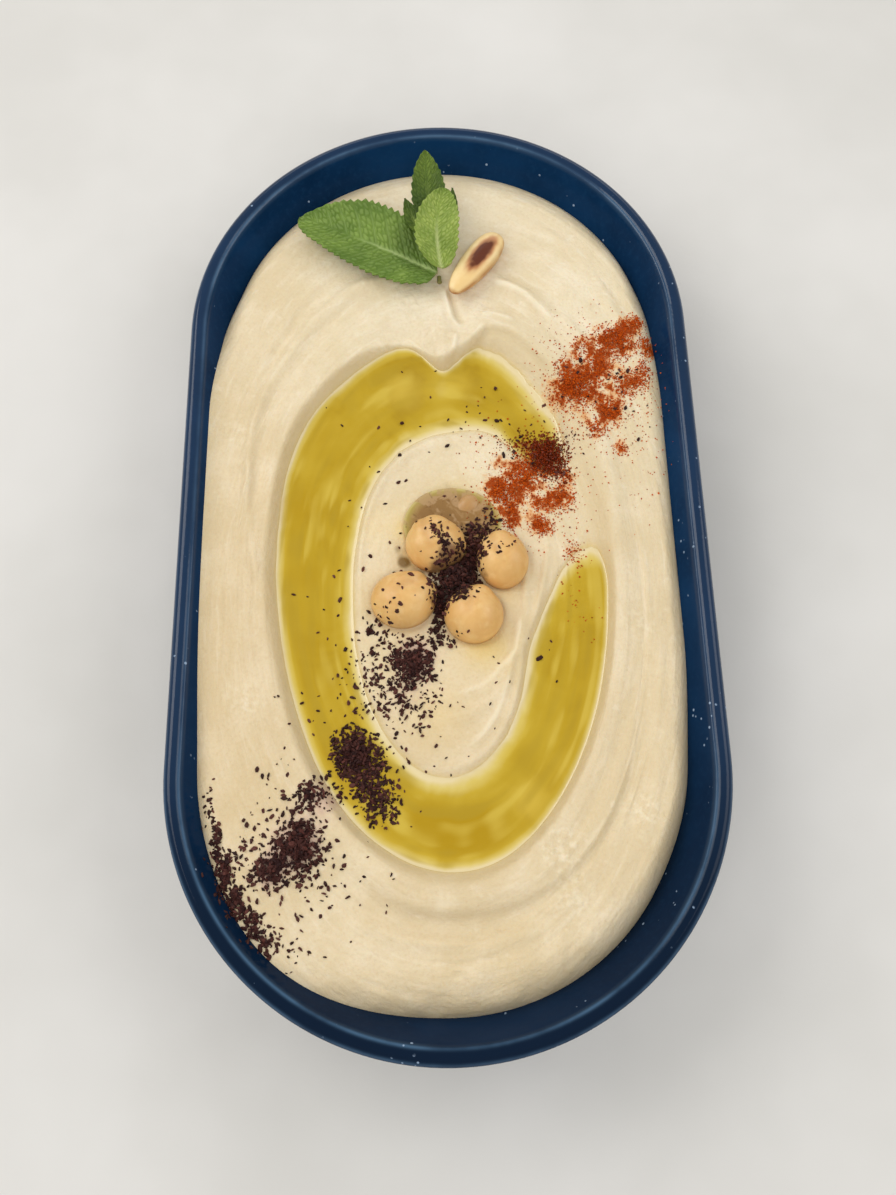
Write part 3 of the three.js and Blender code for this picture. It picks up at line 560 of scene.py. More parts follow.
def makeHummus():
    steps = hummusValues["turnSteps"]
    even = np.linspace(-180, 180, 3601)
    crowd = 1 + 1.1 * lobe(even, 80, 26) + 0.5 * lobe(even, 45, 20) + 0.3 * lobe(even, -95, 40)
    spread = np.concatenate([[0], np.cumsum((crowd[1:] + crowd[:-1]) / 2)])
    # directions lie closer together where the folds are fine
    turn = np.interp(np.arange(steps) / steps * spread[-1], spread, even)
    q = ringsFine(turn)
    x, y = swirlPoint(q, turn[:, None])
    z = fineTop(x, y)
    skirt = []
    # down the inside of the wall, then in over the floor
    for height, inward in ((13.0, 0.1), (8.4, 0.1), (5.6, 1.1), (hummusValues["foot"], 4)):
        drop = rim - height
        sx, sy = swirlPoint(wallQ(turn, inward, drop), turn)
        skirt.append(np.stack([sx, sy, np.full_like(sx, -drop)], -1))
    grid = np.concatenate([np.stack([x, y, z], -1), np.stack(skirt, 1)], 1)
    columns = grid.shape[1]
    peak = fineTop(np.array(swirl["x"]), np.array(swirl["y"]))
    corners = np.concatenate([np.array([[swirl["x"], swirl["y"], peak]]), grid.reshape(-1, 3),
                              np.array([[swirl["x"], swirl["y"], hummusValues["foot"] - rim]])])
    near = 1 + np.arange(steps) * columns
    far = np.roll(near, -1)
    top = np.stack([np.zeros(steps, int), near, far], -1)
    bottom = np.stack([np.full(steps, len(corners) - 1), far + columns - 1, near + columns - 1], -1)
    px, py, pz = corners.T
    pq, pturn = swirlPlace(px, py)
    crest, shore, floorOut, floorIn = swirlLines(pturn)
    # painted shade down the trough's outer wall
    wallBand = smooth(floorOut - 0.02, floorOut + 0.02, pq) * (1 - smooth(crest - 0.03, crest + 0.015, pq))
    wet = smooth(-0.9, 0.0, level["oil"] - pz) * (pq < crest) * (pq > shore - 0.2)
    pitEdge = np.hypot((px - pit["x"]) / pit["halfWidth"], (py - pit["y"]) / pit["halfLength"])
    film = np.clip(patchMarks(px, py, filmPlaces) + 0.6 * (1 - smooth(0.8, 1.0, pitEdge)), 0, 1)
    clumps = 0.62 + 0.5 * ripple(px / 1.7 + 3, py / 1.7, 15) + 0.4 * ripple(px / 0.75, py / 0.75, 16)
    powder = np.clip(patchMarks(px, py, paprikaStains, 1.4) * clumps, 0, 1.05)
    # painted shade: darker towards the near end, at the near left, on the mound's low side and in a patch by
    # the tongue
    warm = (0.55 * (1 - smooth(-35, 62, py)) + 0.4 * smooth(18, 40, -px) * smooth(-88, -40, py)
            + 0.4 * bell(np.hypot((px + 1) / 13, (py + 38) / 8), 1)
            + 0.25 * bell(np.hypot(px - 2, py - 44), 5))
    folds = allFolds(px, py, 0.95)
    roughPlaces = [(x, y, spread, height * 4) for x, y, spread, height in crumples]
    marks = {"wallBand": wallBand, "wet": wet, "film": film, "paprika": powder, "warm": warm, "reach": pq,
             "crumple": patchMarks(px, py, roughPlaces), "puddle": patchMarks(px, py, puddlePlaces),
             "fold": np.clip(folds, 0, 1), "hollow": np.clip(-folds, 0, 1),
             "sumac": patchMarks(px, py, sumacStains, 1.6), "soak": patchMarks(px, py, soakPlaces, 1.3)}
    m = LookMaker("hummusLook", 0.5, 0.4)
    cloudy = m.remap(m.noise(55, 4, 0.6, 0.6), 0.35, 0.7)
    base = m.mix(cloudy, hummusValues["cream"], hummusValues["creamPale"])
    base = m.mix(m.remap(m.noise(150, 4, 0.65, 0.8), 0.52, 0.8, 0, 0.4), base, hummusValues["creamDeep"])
    base = m.mix(m.remap(m.noise(1500, 2), 0.42, 0.75, 0, 0.3), base, hummusValues["fleckDeep"])
    base = m.mix(m.remap(m.noise(420, 3, 0.6), 0.58, 0.78, 0, 0.4), base, hummusValues["fleckPale"])
    drawn = m.drawnNoise("reach", 30, 120, 4, 0.6)
    outward = m.remap(m.mark("reach"), 0.5, 1.1, 0.3, 1)
    base = m.mix(m.times(m.remap(drawn, 0.5, 0.75, 0, 0.3), outward), base, hummusValues["creamDeep"])
    base = m.mix(m.times(m.remap(drawn, 0.48, 0.3, 0, 0.35), outward), base, hummusValues["drawnPale"])
    # painted shade, multiplied over the cream
    base = m.mix(m.mark("warm"), base, hummusValues["paintedShadeTint"], "MULTIPLY")
    # painted highlight along the narrow fold ridges
    base = m.mix(m.remap(m.mark("fold"), 0.06, 0.5, 0, 0.55), base, hummusValues["ridgeHighlight"])
    # painted highlight specks where the spoon left it rough
    crumbs = m.times(m.mark("crumple"), m.remap(m.noise(800, 2, 0.5), 0.42, 0.7, 0, 0.45))
    base = m.mix(crumbs, base, hummusValues["ridgeHighlight"])
    # painted shade in the hollow beside each narrow fold
    base = m.mix(m.remap(m.mark("hollow"), 0.04, 0.4, 0, 0.35), base, hummusValues["hollow"])
    # painted shade on the trough's outer wall
    base = m.mix(m.times(m.mark("wallBand"), 0.5), base, hummusValues["troughShadeTint"])
    base = m.mix(m.times(m.mark("wet"), 0.5), base, hummusValues["filmTint"])
    base = m.mix(m.times(m.mark("film"), 0.65), base, hummusValues["filmTint"])
    puddle = m.remap(m.plus(m.mark("puddle"), m.times(m.noise(420, 3), 0.5)), 0.5, 1.1)
    base = m.mix(m.times(puddle, 0.85), base, hummusValues["puddle"])
    dust = m.plus(m.mark("paprika"), m.times(m.noise(950, 4, 0.8), 1.5))
    base = m.mix(m.remap(dust, 1.0, 1.5, 0, 0.8), base, hummusValues["paprikaHalo"])
    base = m.mix(m.remap(dust, 1.34, 1.72, 0, 0.95), base, hummusValues["paprikaCore"])
    blush = m.plus(m.mark("sumac"), m.noise(500, 3, 0.7))
    base = m.mix(m.remap(blush, 0.6, 1.5, 0, 0.65), base, hummusValues["sumacTint"])
    base = m.mix(m.remap(blush, 1.5, 1.95, 0, 0.85), base, hummusValues["sumacCore"])
    soak = m.remap(m.plus(m.mark("soak"), m.times(m.noise(900, 3, 0.7), 0.7)), 0.62, 1.05)
    base = m.mix(m.times(soak, 0.95), base, hummusValues["soak"])
    gloss = m.plus(m.plus(m.mark("film"), m.mark("wet")), m.mark("soak"))
    shine = m.remap(gloss, 0.0, 0.8, 0.5, 0.18)
    normal = m.bump(m.noise(1300, 4, 0.6), 0.00014, 0.6)
    normal = m.bump(m.noise(330, 4, 0.6, 0.8), 0.0005, 0.45, normal)
    normal = m.bump(m.times(drawn, outward), 0.0005, 0.4, normal)
    normal = m.bump(m.times(m.noise(800, 2, 0.5), m.mark("crumple")), 0.0006, 0.5, normal)
    look = m.finish(base, normal, shine)
    m.join(m.remap(m.mark("paprika"), 0.25, 0.9, 0.4, 0.06), m.shader.inputs["Specular IOR Level"])
    m.soften(0.12, (0.0024, 0.0016, 0.0008))
    piece = newPiece("hummusSwirl", corners, [gridFaces(steps, columns, True, 1), top, bottom], look, marks)
    dress(piece, "hummus", "hummus")
    return piece


hummusPiece = makeHummus()
print("hummus made")


dishValues = {
    "arcSteps": 84, "sideSteps": 26, "profileSteps": 5,
    "navy": (17, 53, 90), "navyDeep": (10, 38, 68), "navyPale": (24, 58, 92), "lipTint": (12, 42, 72),
    "shaded": (14, 30, 50), "lipShaded": (6, 18, 34), "lipHighlightTint": (78, 110, 140),
    "speckTint": (150, 172, 198), "clay": (176, 160, 140),
}


def dishOutline(radius):
    points = []
    straight = dishSize["halfStraight"]
    for side in (1, -1):
        for i in range(dishValues["sideSteps"]):
            points.append((side * radius, side * straight * (2 * i / dishValues["sideSteps"] - 1)))
        for i in range(dishValues["arcSteps"]):
            angle = math.pi * i / dishValues["arcSteps"]
            points.append((side * radius * math.cos(angle), side * (straight + radius * math.sin(angle))))
    return points


def wallInset(z):
    return dishSize["lean"] * (rim - z)


def curved(profile, steps):  # a smooth line through the profile's points
    points = np.array([profile[0]] + profile + [profile[-1]], float)
    line = []
    for i in range(1, len(points) - 2):
        a, b, c, d = points[i - 1:i + 3]
        for k in range(steps):
            t = k / steps
            line.append(0.5 * (2 * b + (c - a) * t + (2 * a - 5 * b + 4 * c - d) * t * t
                               + (3 * b - a - 3 * c + d) * t ** 3))
    line.append(points[-1])
    return np.array(line)


def makeDish():
    half, lip, floorTop = dishSize["halfWidth"], dishSize["lip"], dishSize["floorTop"]
    foot = wallInset(2.6) + 2
    floorEdge = lip + wallInset(floorTop)
    under = [(half, 0.8), (foot + 4.6, 0.8), (foot + 4.2, 0.45), (foot + 3.9, 0.02), (foot + 2.4, 0),
             (foot + 0.7, 0), (foot + 0.15, 0.3), (foot, 0.9), (foot - 0.2, 2.2), (foot - 1.4, 3.1),
             (foot - 2.6, 4.6), (wallInset(8), 8), (wallInset(18), 18), (wallInset(rim - 4.4), rim - 4.4),
             (0.5, rim - 3), (0, rim - 1.7), (0.3, rim - 0.7), (1.1, rim - 0.1), (1.9, rim),
             (2.8, rim - 0.25), (lip + wallInset(rim - 1.3), rim - 1.3), (lip + wallInset(23), 23),
             (lip + wallInset(13), 13), (lip + wallInset(8.4), 8.4), (floorEdge + 1.1, floorTop + 1.4),
             (floorEdge + 4, floorTop + 0.25), (floorEdge + 7, floorTop), (half, floorTop)]
    line = curved(under, dishValues["profileSteps"])
    line[:, 0] = np.clip(line[:, 0], 0, half)
    line[:, 1] = np.clip(line[:, 1], 0, rim)
    line = line[(line[:, 0] < half - 0.6)]
    rings = np.array([[(x, y, z - rim) for x, y in dishOutline(half - inset)] for inset, z in line])
    count = rings.shape[1]
    corners = rings.reshape(-1, 3)
    faces = [gridFaces(len(line), count, False)]
    start, end = np.arange(len(line)) * count, np.arange(len(line)) * count + count - 1
    faces.append(np.stack([end[:-1], start[:-1], start[1:], end[1:]], -1))
    ring = np.arange(count)
    nxt = (ring + 1) % count
    for base, height in ((0, line[0][1]), ((len(line) - 1) * count, line[-1][1])):  # the flat middles
        first = len(corners)
        middle = np.array([[0, y, height - rim] for x, y in dishOutline(0.001)])
        corners = np.concatenate([corners, middle])
        faces.append(np.stack([base + ring, base + nxt, first + nxt, first + ring], -1))
    heights = corners[:, 2] + rim
    inset = half - fromSpine(corners[:, 0], corners[:, 1])
    lipMark = smooth(rim - 1.6, rim - 0.15, heights) * (inset < 4.5)
    footMark = (1 - smooth(0.02, 0.4, heights)) * (inset > foot - 1) * (inset < foot + 5)
    m = LookMaker("dishGlaze", 0.12)
    base = m.mix(m.remap(m.noise(38, 4, 0.55, 0.5), 0.3, 0.7), dishValues["navyDeep"], dishValues["navy"])
    base = m.mix(m.remap(m.noise(900, 2), 0.45, 0.75, 0, 0.35), base, dishValues["navyPale"])
    # painted shade towards the near end, on the wall and darker on the lip
    base = m.mix(m.times(m.mark("near"), 0.6), base, dishValues["shaded"])
    base = m.mix(m.times(m.mark("lip"), m.remap(m.noise(120, 3, 0.6), 0.2, 0.8, 0.5, 0.9)), base,
                 dishValues["lipTint"])
    base = m.mix(m.times(m.mark("lip"), m.remap(m.mark("near"), 0.5, 1, 0, 0.7)), base,
                 dishValues["lipShaded"])
    # painted highlight lines along the lip's inner and outer edges
    thin = m.times(m.mark("thin"), m.remap(m.noise(90, 3, 0.6), 0.3, 0.65, 0.25, 0.7))
    base = m.mix(thin, base, dishValues["lipHighlightTint"])
    specks = m.remap(m.cells(620), 0.2, 0.12)
    chosen = m.remap(m.noise(240, 2, 0.5), 0.6, 0.66)
    base = m.mix(m.times(m.times(specks, chosen), 0.85), base, dishValues["speckTint"])
    base = m.mix(m.mark("foot"), base, dishValues["clay"])
    shine = m.remap(m.mark("foot"), 0, 1, 0.1, 0.75)
    lipShine = m.times(m.mark("lip"), m.remap(m.mark("near"), 0.3, 1, 1, 0.35))
    m.join(m.remap(lipShine, 0, 1, 0.03, 0.4), m.shader.inputs["Specular IOR Level"])
    normal = m.bump(m.noise(70, 2, 0.5), 0.0004, 0.25)
    normal = m.bump(m.noise(1100, 2, 0.5), 0.00004, 0.35, normal)
    look = m.finish(base, normal, shine)
    nearShadeMark = 1 - smooth(-90, 10, corners[:, 1])  # painted shade, darker towards the near end of the dish
    # painted highlight: thin pale lines just inside and outside the lip's top
    edges = bell(inset - 3.05, 0.34) + 0.7 * bell(inset - 0.3, 0.3)
    lipHighlightMark = edges * smooth(rim - 2.6, rim - 1.4, heights)
    # fainter along the straight sides
    lipHighlightMark = lipHighlightMark * (0.4 + 0.6 * smooth(30, 62, np.abs(corners[:, 1])))
    piece = newPiece("stonewareDish", corners, faces, look,
                     {"lip": lipMark, "foot": footMark, "near": nearShadeMark, "thin": np.clip(lipHighlightMark, 0, 1)})
    shape = bmesh.new()
    shape.from_mesh(piece.data)
    bmesh.ops.remove_doubles(shape, verts=shape.verts, dist=1e-6)
    bmesh.ops.recalc_face_normals(shape, faces=shape.faces)
    shape.to_mesh(piece.data)
    shape.free()
    dress(piece, "glaze", "dish")
    return piece


dishPiece = makeDish()
print("dish made")


oilValues = {
    "turnSteps": 640, "acrossSteps": 44, "meniscus": 0.18, "reach": 0.45, "sunk": 0.12,
    "thin": (232, 214, 166), "shallow": (218, 196, 108), "gold": (197, 166, 44), "deep": (186, 153, 24),
    "dark": (170, 136, 12), "streakPale": (216, 190, 78), "streakDark": (176, 146, 32),
    "rich": (178, 142, 0), "palePatch": (216, 186, 72), "pepper": (150, 78, 28),
}
richPlaces = [(1, -59.5, 5.5, 1), (8, -59, 4.5, 0.8), (-5, -57, 4, 0.7), (-29, 8, 6, 0.7), (-28, -8, 6, 0.6),
              (-27, -22, 6, 0.6), (-24, 24, 5, 0.5)]
palePlaces = [(-8, 34, 6, 0.8), (4, 35, 5, 0.6), (15.2, -53.8, 5, 0.8), (21, -47, 4, 0.4), (-17, -42, 4, 0.4)]


def findShore(wet, dry, spot, height, halvings=26):  # where the surface comes out of the oil
    for _ in range(halvings):
        middle = (wet + dry) / 2
        under = fineTop(*spot(middle)) < height
        wet, dry = np.where(under, middle, wet), np.where(under, dry, middle)
    return wet


def makeOilLook():
    m = LookMaker("oilLook", 0.07)
    # deeper oil is richer; paler and darker streaks follow the swirl below it
    depth = m.plus(m.mark("depth"), m.remap(m.noise(60, 3, 0.6, 1.0), 0.3, 0.7, -0.35, 0.35))
    colour = m.ramp(m.times(depth, 0.25), [
        (0.0, oilValues["thin"]), (0.07, oilValues["thin"]), (0.32, oilValues["shallow"]),
        (0.62, oilValues["gold"]), (0.86, oilValues["deep"]), (1.0, oilValues["dark"])])
    pale = m.remap(m.plus(m.mark("pale"), m.times(m.noise(120, 3), 0.5)), 0.45, 1.2, 0, 0.7)
    colour = m.mix(pale, colour, oilValues["palePatch"])
    rich = m.remap(m.plus(m.mark("rich"), m.times(m.noise(120, 3), 0.5)), 0.45, 1.2, 0, 0.9)
    colour = m.mix(rich, colour, oilValues["rich"])
    below = m.remap(m.mark("depth"), 0.3, 1.4)
    colour = m.mix(m.times(m.remap(m.mark("streak"), 0.5, 0.95, 0, 0.6), below), colour,
                   oilValues["streakPale"])
    colour = m.mix(m.times(m.remap(m.mark("streak"), 0.5, 0.08, 0, 0.6), below), colour,
                   oilValues["streakDark"])
    pepper = m.remap(m.plus(m.mark("paprika"), m.times(m.noise(800, 3, 0.7), 0.9)), 0.85, 1.5)
    colour = m.mix(m.times(pepper, 0.8), colour, oilValues["pepper"])
    normal = m.bump(m.noise(45, 2, 0.5), 0.0003, 0.12)
    return m.finish(colour, normal)


oilLook = makeOilLook()


def makeOilRing():
    height = level["oil"] + oilValues["meniscus"]
    turn = np.linspace(33, 373, oilValues["turnSteps"])
    wrapped = np.where(turn > 180, turn - 360, turn)
    crest, shore, floorOut, floorIn = swirlLines(wrapped)
    search = np.linspace(0, 1, 50)[None, :]
    q = shore[:, None] + (crest - shore)[:, None] * search
    x, y = swirlPoint(q, wrapped[:, None])
    tops = fineTop(x, y)
    best = np.argmin(tops, 1)
    lowest = tops[np.arange(len(turn)), best]
    deepest = q[np.arange(len(turn)), best]
    wet = lowest < height - 0.03
    first, last = np.argmax(wet), len(wet) - 1 - np.argmax(wet[::-1])
    keep = slice(first, last + 1)
    wrapped, deepest, shore, crest = wrapped[keep], deepest[keep], shore[keep], crest[keep]
    inner = findShore(deepest, shore - 0.12, lambda q: swirlPoint(q, wrapped), height)
    outer = findShore(deepest, crest, lambda q: swirlPoint(q, wrapped), height)
    steps = oilValues["acrossSteps"]
    across = 0.5 - 0.5 * np.cos(np.pi * np.arange(steps + 1) / steps)
    q = inner[:, None] + (outer - inner)[:, None] * across
    x, y = swirlPoint(q, wrapped[:, None])
    ground = fineTop(x, y)
    edge = np.minimum(np.hypot(x - x[:, :1], y - y[:, :1]), np.hypot(x - x[:, -1:], y - y[:, -1:]))
    top = level["oil"] + oilValues["meniscus"] * np.exp(-edge / oilValues["reach"])
    top = np.maximum(top, ground + 0.01)
    rows, columns = x.shape
    low = np.minimum(ground, top) - oilValues["sunk"]
    corners = np.concatenate([np.stack([x, y, z], -1).reshape(-1, 3) for z in (top, low)])
    half = rows * columns
    upper, lower = gridFaces(rows, columns, False), gridFaces(rows, columns, False, half)[:, ::-1]
    depth = np.tile(np.maximum(top - ground, 0).ravel(), 2)
    around = wrapped[:, None] / 360 + 0.5
    streak = (0.5 + 0.34 * ripple(around * 11, q * 24 + 3, 41, 11)
              + 0.22 * ripple(around * 26, q * 48, 42, 26) + 0.2 * ripple(around * 60, q * 16, 43, 60))
    marks = {"depth": depth, "paprika": patchMarks(corners[:, 0], corners[:, 1], paprikaStains),
             "rich": patchMarks(corners[:, 0], corners[:, 1], richPlaces),
             "pale": patchMarks(corners[:, 0], corners[:, 1], palePlaces),
             "streak": np.tile(np.clip(streak, 0, 1).ravel(), 2)}
    piece = newPiece("oilRing", corners, [upper, lower] + borderFaces(rows, columns, half), oilLook, marks)
    dress(piece, "oil", "oil_ring")
    return piece


poolValues = {
    "around": 160, "across": 26, "meniscus": 0.12, "reach": 0.4,
    "thin": (208, 192, 124), "shallow": (172, 152, 78), "middle": (162, 132, 76), "deep": (148, 112, 64),
    "skinPale": (184, 150, 108), "skin": (186, 152, 106), "sediment": (108, 78, 44), "pepper": (160, 90, 44),
}


def makeOilPool():
    height = level["pool"] + poolValues["meniscus"]
    angle = np.linspace(0, 2 * np.pi, poolValues["around"], endpoint=False)

    def spot(reach):
        return (pit["x"] + pit["halfWidth"] * reach * np.cos(angle),
                pit["y"] + pit["halfLength"] * reach * np.sin(angle))

    wet = findShore(np.full_like(angle, 0.5), np.full_like(angle, 1.25), spot, height)
    share = np.sin(np.linspace(0.03, 1, poolValues["across"]) * np.pi / 2)
    reach = wet[:, None] * share
    x = pit["x"] + pit["halfWidth"] * reach * np.cos(angle)[:, None]
    y = pit["y"] + pit["halfLength"] * reach * np.sin(angle)[:, None]
    ground = fineTop(x, y)
    edge = np.hypot(x - x[:, -1:], y - y[:, -1:])
    climb = poolValues["meniscus"] * np.exp(-edge / poolValues["reach"])
    top = np.maximum(level["pool"] + climb, ground + 0.01)
    rows, columns = x.shape
    upper = np.stack([x, y, top], -1).reshape(-1, 3)
    lower = np.stack([x, y, np.minimum(ground, top) - oilValues["sunk"]], -1).reshape(-1, 3)
    half = rows * columns
    middles = np.array([[pit["x"], pit["y"], level["pool"]], [pit["x"], pit["y"], pit["depth"] - 0.1]])
    corners = np.concatenate([upper, lower, middles])
    a = np.arange(rows) * columns
    b = np.roll(a, -1)
    rimLine = np.stack([a + columns - 1, a + columns - 1 + half, b + columns - 1 + half, b + columns - 1], -1)
    faces = [gridFaces(rows, columns, True), gridFaces(rows, columns, True, half)[:, ::-1], rimLine,
             np.stack([np.full(rows, 2 * half), a, b], -1),
             np.stack([np.full(rows, 2 * half + 1), b + half, a + half], -1)]
    depth = np.concatenate([np.tile(np.maximum(top - ground, 0).ravel(), 2), [3, 3]])
    marks = {"depth": depth, "paprika": 0.5 * patchMarks(corners[:, 0], corners[:, 1], paprikaStains)}
    m = LookMaker("poolLook", 0.1)
    colour = m.ramp(m.times(m.mark("depth"), 0.25), [
        (0.0, poolValues["thin"]), (0.2, poolValues["shallow"]), (0.6, poolValues["middle"]),
        (1.0, poolValues["deep"])])
    colour = m.mix(m.remap(m.noise(150, 3, 0.6, 1.2), 0.52, 0.6, 0, 0.75), colour, poolValues["skinPale"])
    colour = m.mix(m.remap(m.noise(300, 4, 0.65, 0.8), 0.5, 0.68, 0, 0.5), colour, poolValues["skin"])
    colour = m.mix(m.remap(m.noise(520, 4, 0.65, 0.8), 0.56, 0.7, 0, 0.55), colour, poolValues["sediment"])
    colour = m.mix(m.times(m.mark("paprika"), 0.5), colour, poolValues["pepper"])
    look = m.finish(colour, m.bump(m.noise(90, 2), 0.0003, 0.15))
    piece = newPiece("oilPool", corners, faces, look, marks)
    dress(piece, "oil", "oil_pool")
    return piece


oilRing = makeOilRing()
oilPool = makeOilPool()
print("oil made")


peaValues = {"detail": 6, "lumps": 0.01, "skin": (234, 190, 122), "skinDeep": (222, 172, 102),
             "skinPale": (243, 210, 150), "crease": (192, 138, 78), "foot": (182, 132, 70),
             "stain": (112, 74, 48), "sunk": (180, 138, 88)}
peaStainsAndShade = [  # x, y, spread, strength of the sumac's dark water on the skins, and of painted shade beside the heap
    (2.4, -9.4, 3.2, 1.3), (1.4, -5.6, 2.2, 0.8), (-0.6, -2.8, 1.5, 0.45), (-1.6, -9.4, 2.4, 0.9),
    (6, -5.4, 2.2, 0.9), (-1, -15.4, 2.0, 1.0), (3.2, -12.8, 2.2, 0.9), (7.4, -10.4, 1.6, 0.7),
    (-1.2, -19.6, 1.6, 0.6),
]


def makePeaLook():
    m = LookMaker("chickpeaSkin", 0.36)
    base = m.mix(m.remap(m.noise(190, 4, 0.6, 0.5), 0.3, 0.7), peaValues["skinDeep"], peaValues["skin"])
    base = m.mix(m.remap(m.noise(420, 3), 0.5, 0.8, 0, 0.5), base, peaValues["skinPale"])
    base = m.mix(m.times(m.mark("furrow"), 0.6), base, peaValues["crease"])
    # painted contact shade round the base of each pea
    base = m.mix(m.times(m.mark("foot"), 0.75), base, peaValues["foot"])
    base = m.mix(m.mark("sunk"), base, peaValues["sunk"])
    # sumac stain with painted shade on the peas' sides near the heap
    soak = m.remap(m.plus(m.mark("stain"), m.times(m.noise(700, 4, 0.7), 0.8)), 0.7, 1.3)
    base = m.mix(m.times(soak, 0.8), base, peaValues["stain"])
    normal = m.bump(m.noise(900, 3, 0.6), 0.00006, 0.25)
    normal = m.bump(m.noise(260, 3, 0.55, 0.6), 0.0003, 0.2, normal)
    look = m.finish(base, normal)
    m.soften(0.15, (0.002, 0.0011, 0.0005))
    return look


def makeChickpeas():
    look = makePeaLook()
    ball = bmesh.new()
    bmesh.ops.create_icosphere(ball, subdivisions=peaValues["detail"], radius=1)
    ball.verts.ensure_lookup_table()
    points = np.array([v.co[:] for v in ball.verts])
    points /= np.linalg.norm(points, axis=1)[:, None]
    triangles = np.array([[v.index for v in f.verts] for f in ball.faces])
    ball.free()
    made = []
    for number, (px, py, pz, radius, stretch, beak) in enumerate(chickpeas):
        beak = np.array(beak) / np.linalg.norm(beak)
        across = np.array([beak[1], -beak[0], 0.2])
        across /= np.linalg.norm(across)
        towards, side = points @ beak, points @ across
        furrowShape = bell(side, 0.16) * smooth(-0.3, 0.7, towards)
        reach = 1 + 0.1 * smooth(0.72, 1, towards) - 0.045 * furrowShape - 0.03 * side ** 2
        third = np.cross(beak, across)
        reach = reach + 0.018 * np.cos(3.0 * np.arctan2(points @ third, side) + number) * (1 - towards ** 2)
        u, v = points @ third * 2.1 + 3 * number, side * 2.1 + towards * 1.3
        reach = reach + peaValues["lumps"] * ripple(u + 9, v + 9, 21 + number)
        reach = reach + 0.3 * peaValues["lumps"] * ripple(u * 3 + 9, v * 3 + 9, 31 + number)
        place = points * np.array(stretch) * (radius * reach)[:, None] + (px, py, pz)
        ground = hummusTop(place[:, 0], place[:, 1])
        stain = patchMarks(place[:, 0], place[:, 1], peaStainsAndShade) * smooth(-7, -2, place[:, 2])
        # foot marks the painted contact shade near the hummus
        marks = {"furrow": furrowShape * 0.6, "foot": 1 - smooth(0.1, 1.8, place[:, 2] - ground),
                 "stain": stain, "sunk": np.full(len(place), 0.85 if number == 4 else 0.0)}
        piece = newPiece(f"chickpea{number + 1}", place, [triangles], look, marks)
        dress(piece, "chickpea", f"chickpea_{number + 1}")
        made.append(piece)
    return made


chickpeaPieces = makeChickpeas()
print("chickpeas made")


# base, tip, width, rise, fold, bow, unevenness, powers of each side's outline, teeth, veins on a side
leaves = {
    "large": ((0.1, 60.8, -1.7), (-29.9, 76.4, -1.9), 16.4, 1.5, 0.12, 0.3, -0.14, (1.1, 0.72), (0.6, 0.38),
              21, 8),
    "front": ((1, 60.4, 0.6), (2, 78.1, 4.6), 9.5, 1.2, 0.3, 1.2, 0, (0.85, 0.8), (0.52, 0.5), 12, 6),
    "back": ((0, 70.2, 0.4), (-1.9, 88.2, 4.8), 7.6, 0.3, 0.35, 0.5, 0, (0.75, 0.75), (0.66, 0.66), 11, 6),
    "left": ((-3.1, 69.6, 0.2), (-6.6, 78.3, 1.2), 3.6, 0.3, 0.2, 0.3, 0, (0.7, 0.7), (0.75, 0.75), 6, 4),
    "right": ((3.4, 71.4, 0.2), (3.9, 80.5, 1.6), 2.4, 0.3, 0.2, -0.2, 0, (0.7, 0.7), (0.75, 0.75), 6, 4),
}
leafValues = {"along": 170, "across": 76, "thickness": 0.4, "tooth": 0.095, "quilt": 0.34, "cell": 1.25,
              "clear": 0.45, "shade": (58, 78, 28)}
leafColours = {  # deep, middle and vein
    "mintBroad": ((90, 118, 40), (124, 150, 62), (176, 196, 126)),
    "mintYoung": ((116, 140, 54), (160, 178, 86), (190, 200, 134)),
    "mintDark": ((62, 86, 24), (104, 126, 44), (132, 152, 70)),
}


def cellEdges(u, v, seed):  # 0 on the borders between irregular cells, more towards their middles
    column, row = np.floor(u), np.floor(v)
    first, second = np.full_like(u, 9.0), np.full_like(u, 9.0)
    for i in (-1, 0, 1):
        for j in (-1, 0, 1):
            a, b = column + i, row + j
            away = np.hypot(a + 0.15 + 0.7 * lattice(a, b, seed) - u,
                            b + 0.15 + 0.7 * lattice(a, b, seed + 1) - v)
            second = np.minimum(second, np.maximum(first, away))
            first = np.minimum(first, away)
    return second - first


def makeLeafLook(name, deep, middle, vein):
    m = LookMaker(name, 0.55, 0.3)
    base = m.mix(m.remap(m.noise(150, 3, 0.6), 0.3, 0.7), deep, middle)
    base = m.mix(m.remap(m.mark("pillow"), 0.1, 0.75, 0.4, 0), base, deep)
    base = m.mix(m.remap(m.mark("pillow"), 0.55, 1, 0, 0.12), base, vein)
    base = m.mix(m.remap(m.noise(700, 3, 0.6), 0.5, 0.75, 0, 0.35), base, deep)
    base = m.mix(m.mark("vein"), base, vein)
    base = m.mix(m.times(m.mark("shade"), 0.6), base, leafValues["shade"])
    normal = m.bump(m.noise(1400, 3, 0.6), 0.00008, 0.4)
    look = m.finish(base, normal)
    m.soften(0.1, (0.0006, 0.001, 0.0003))
    return look


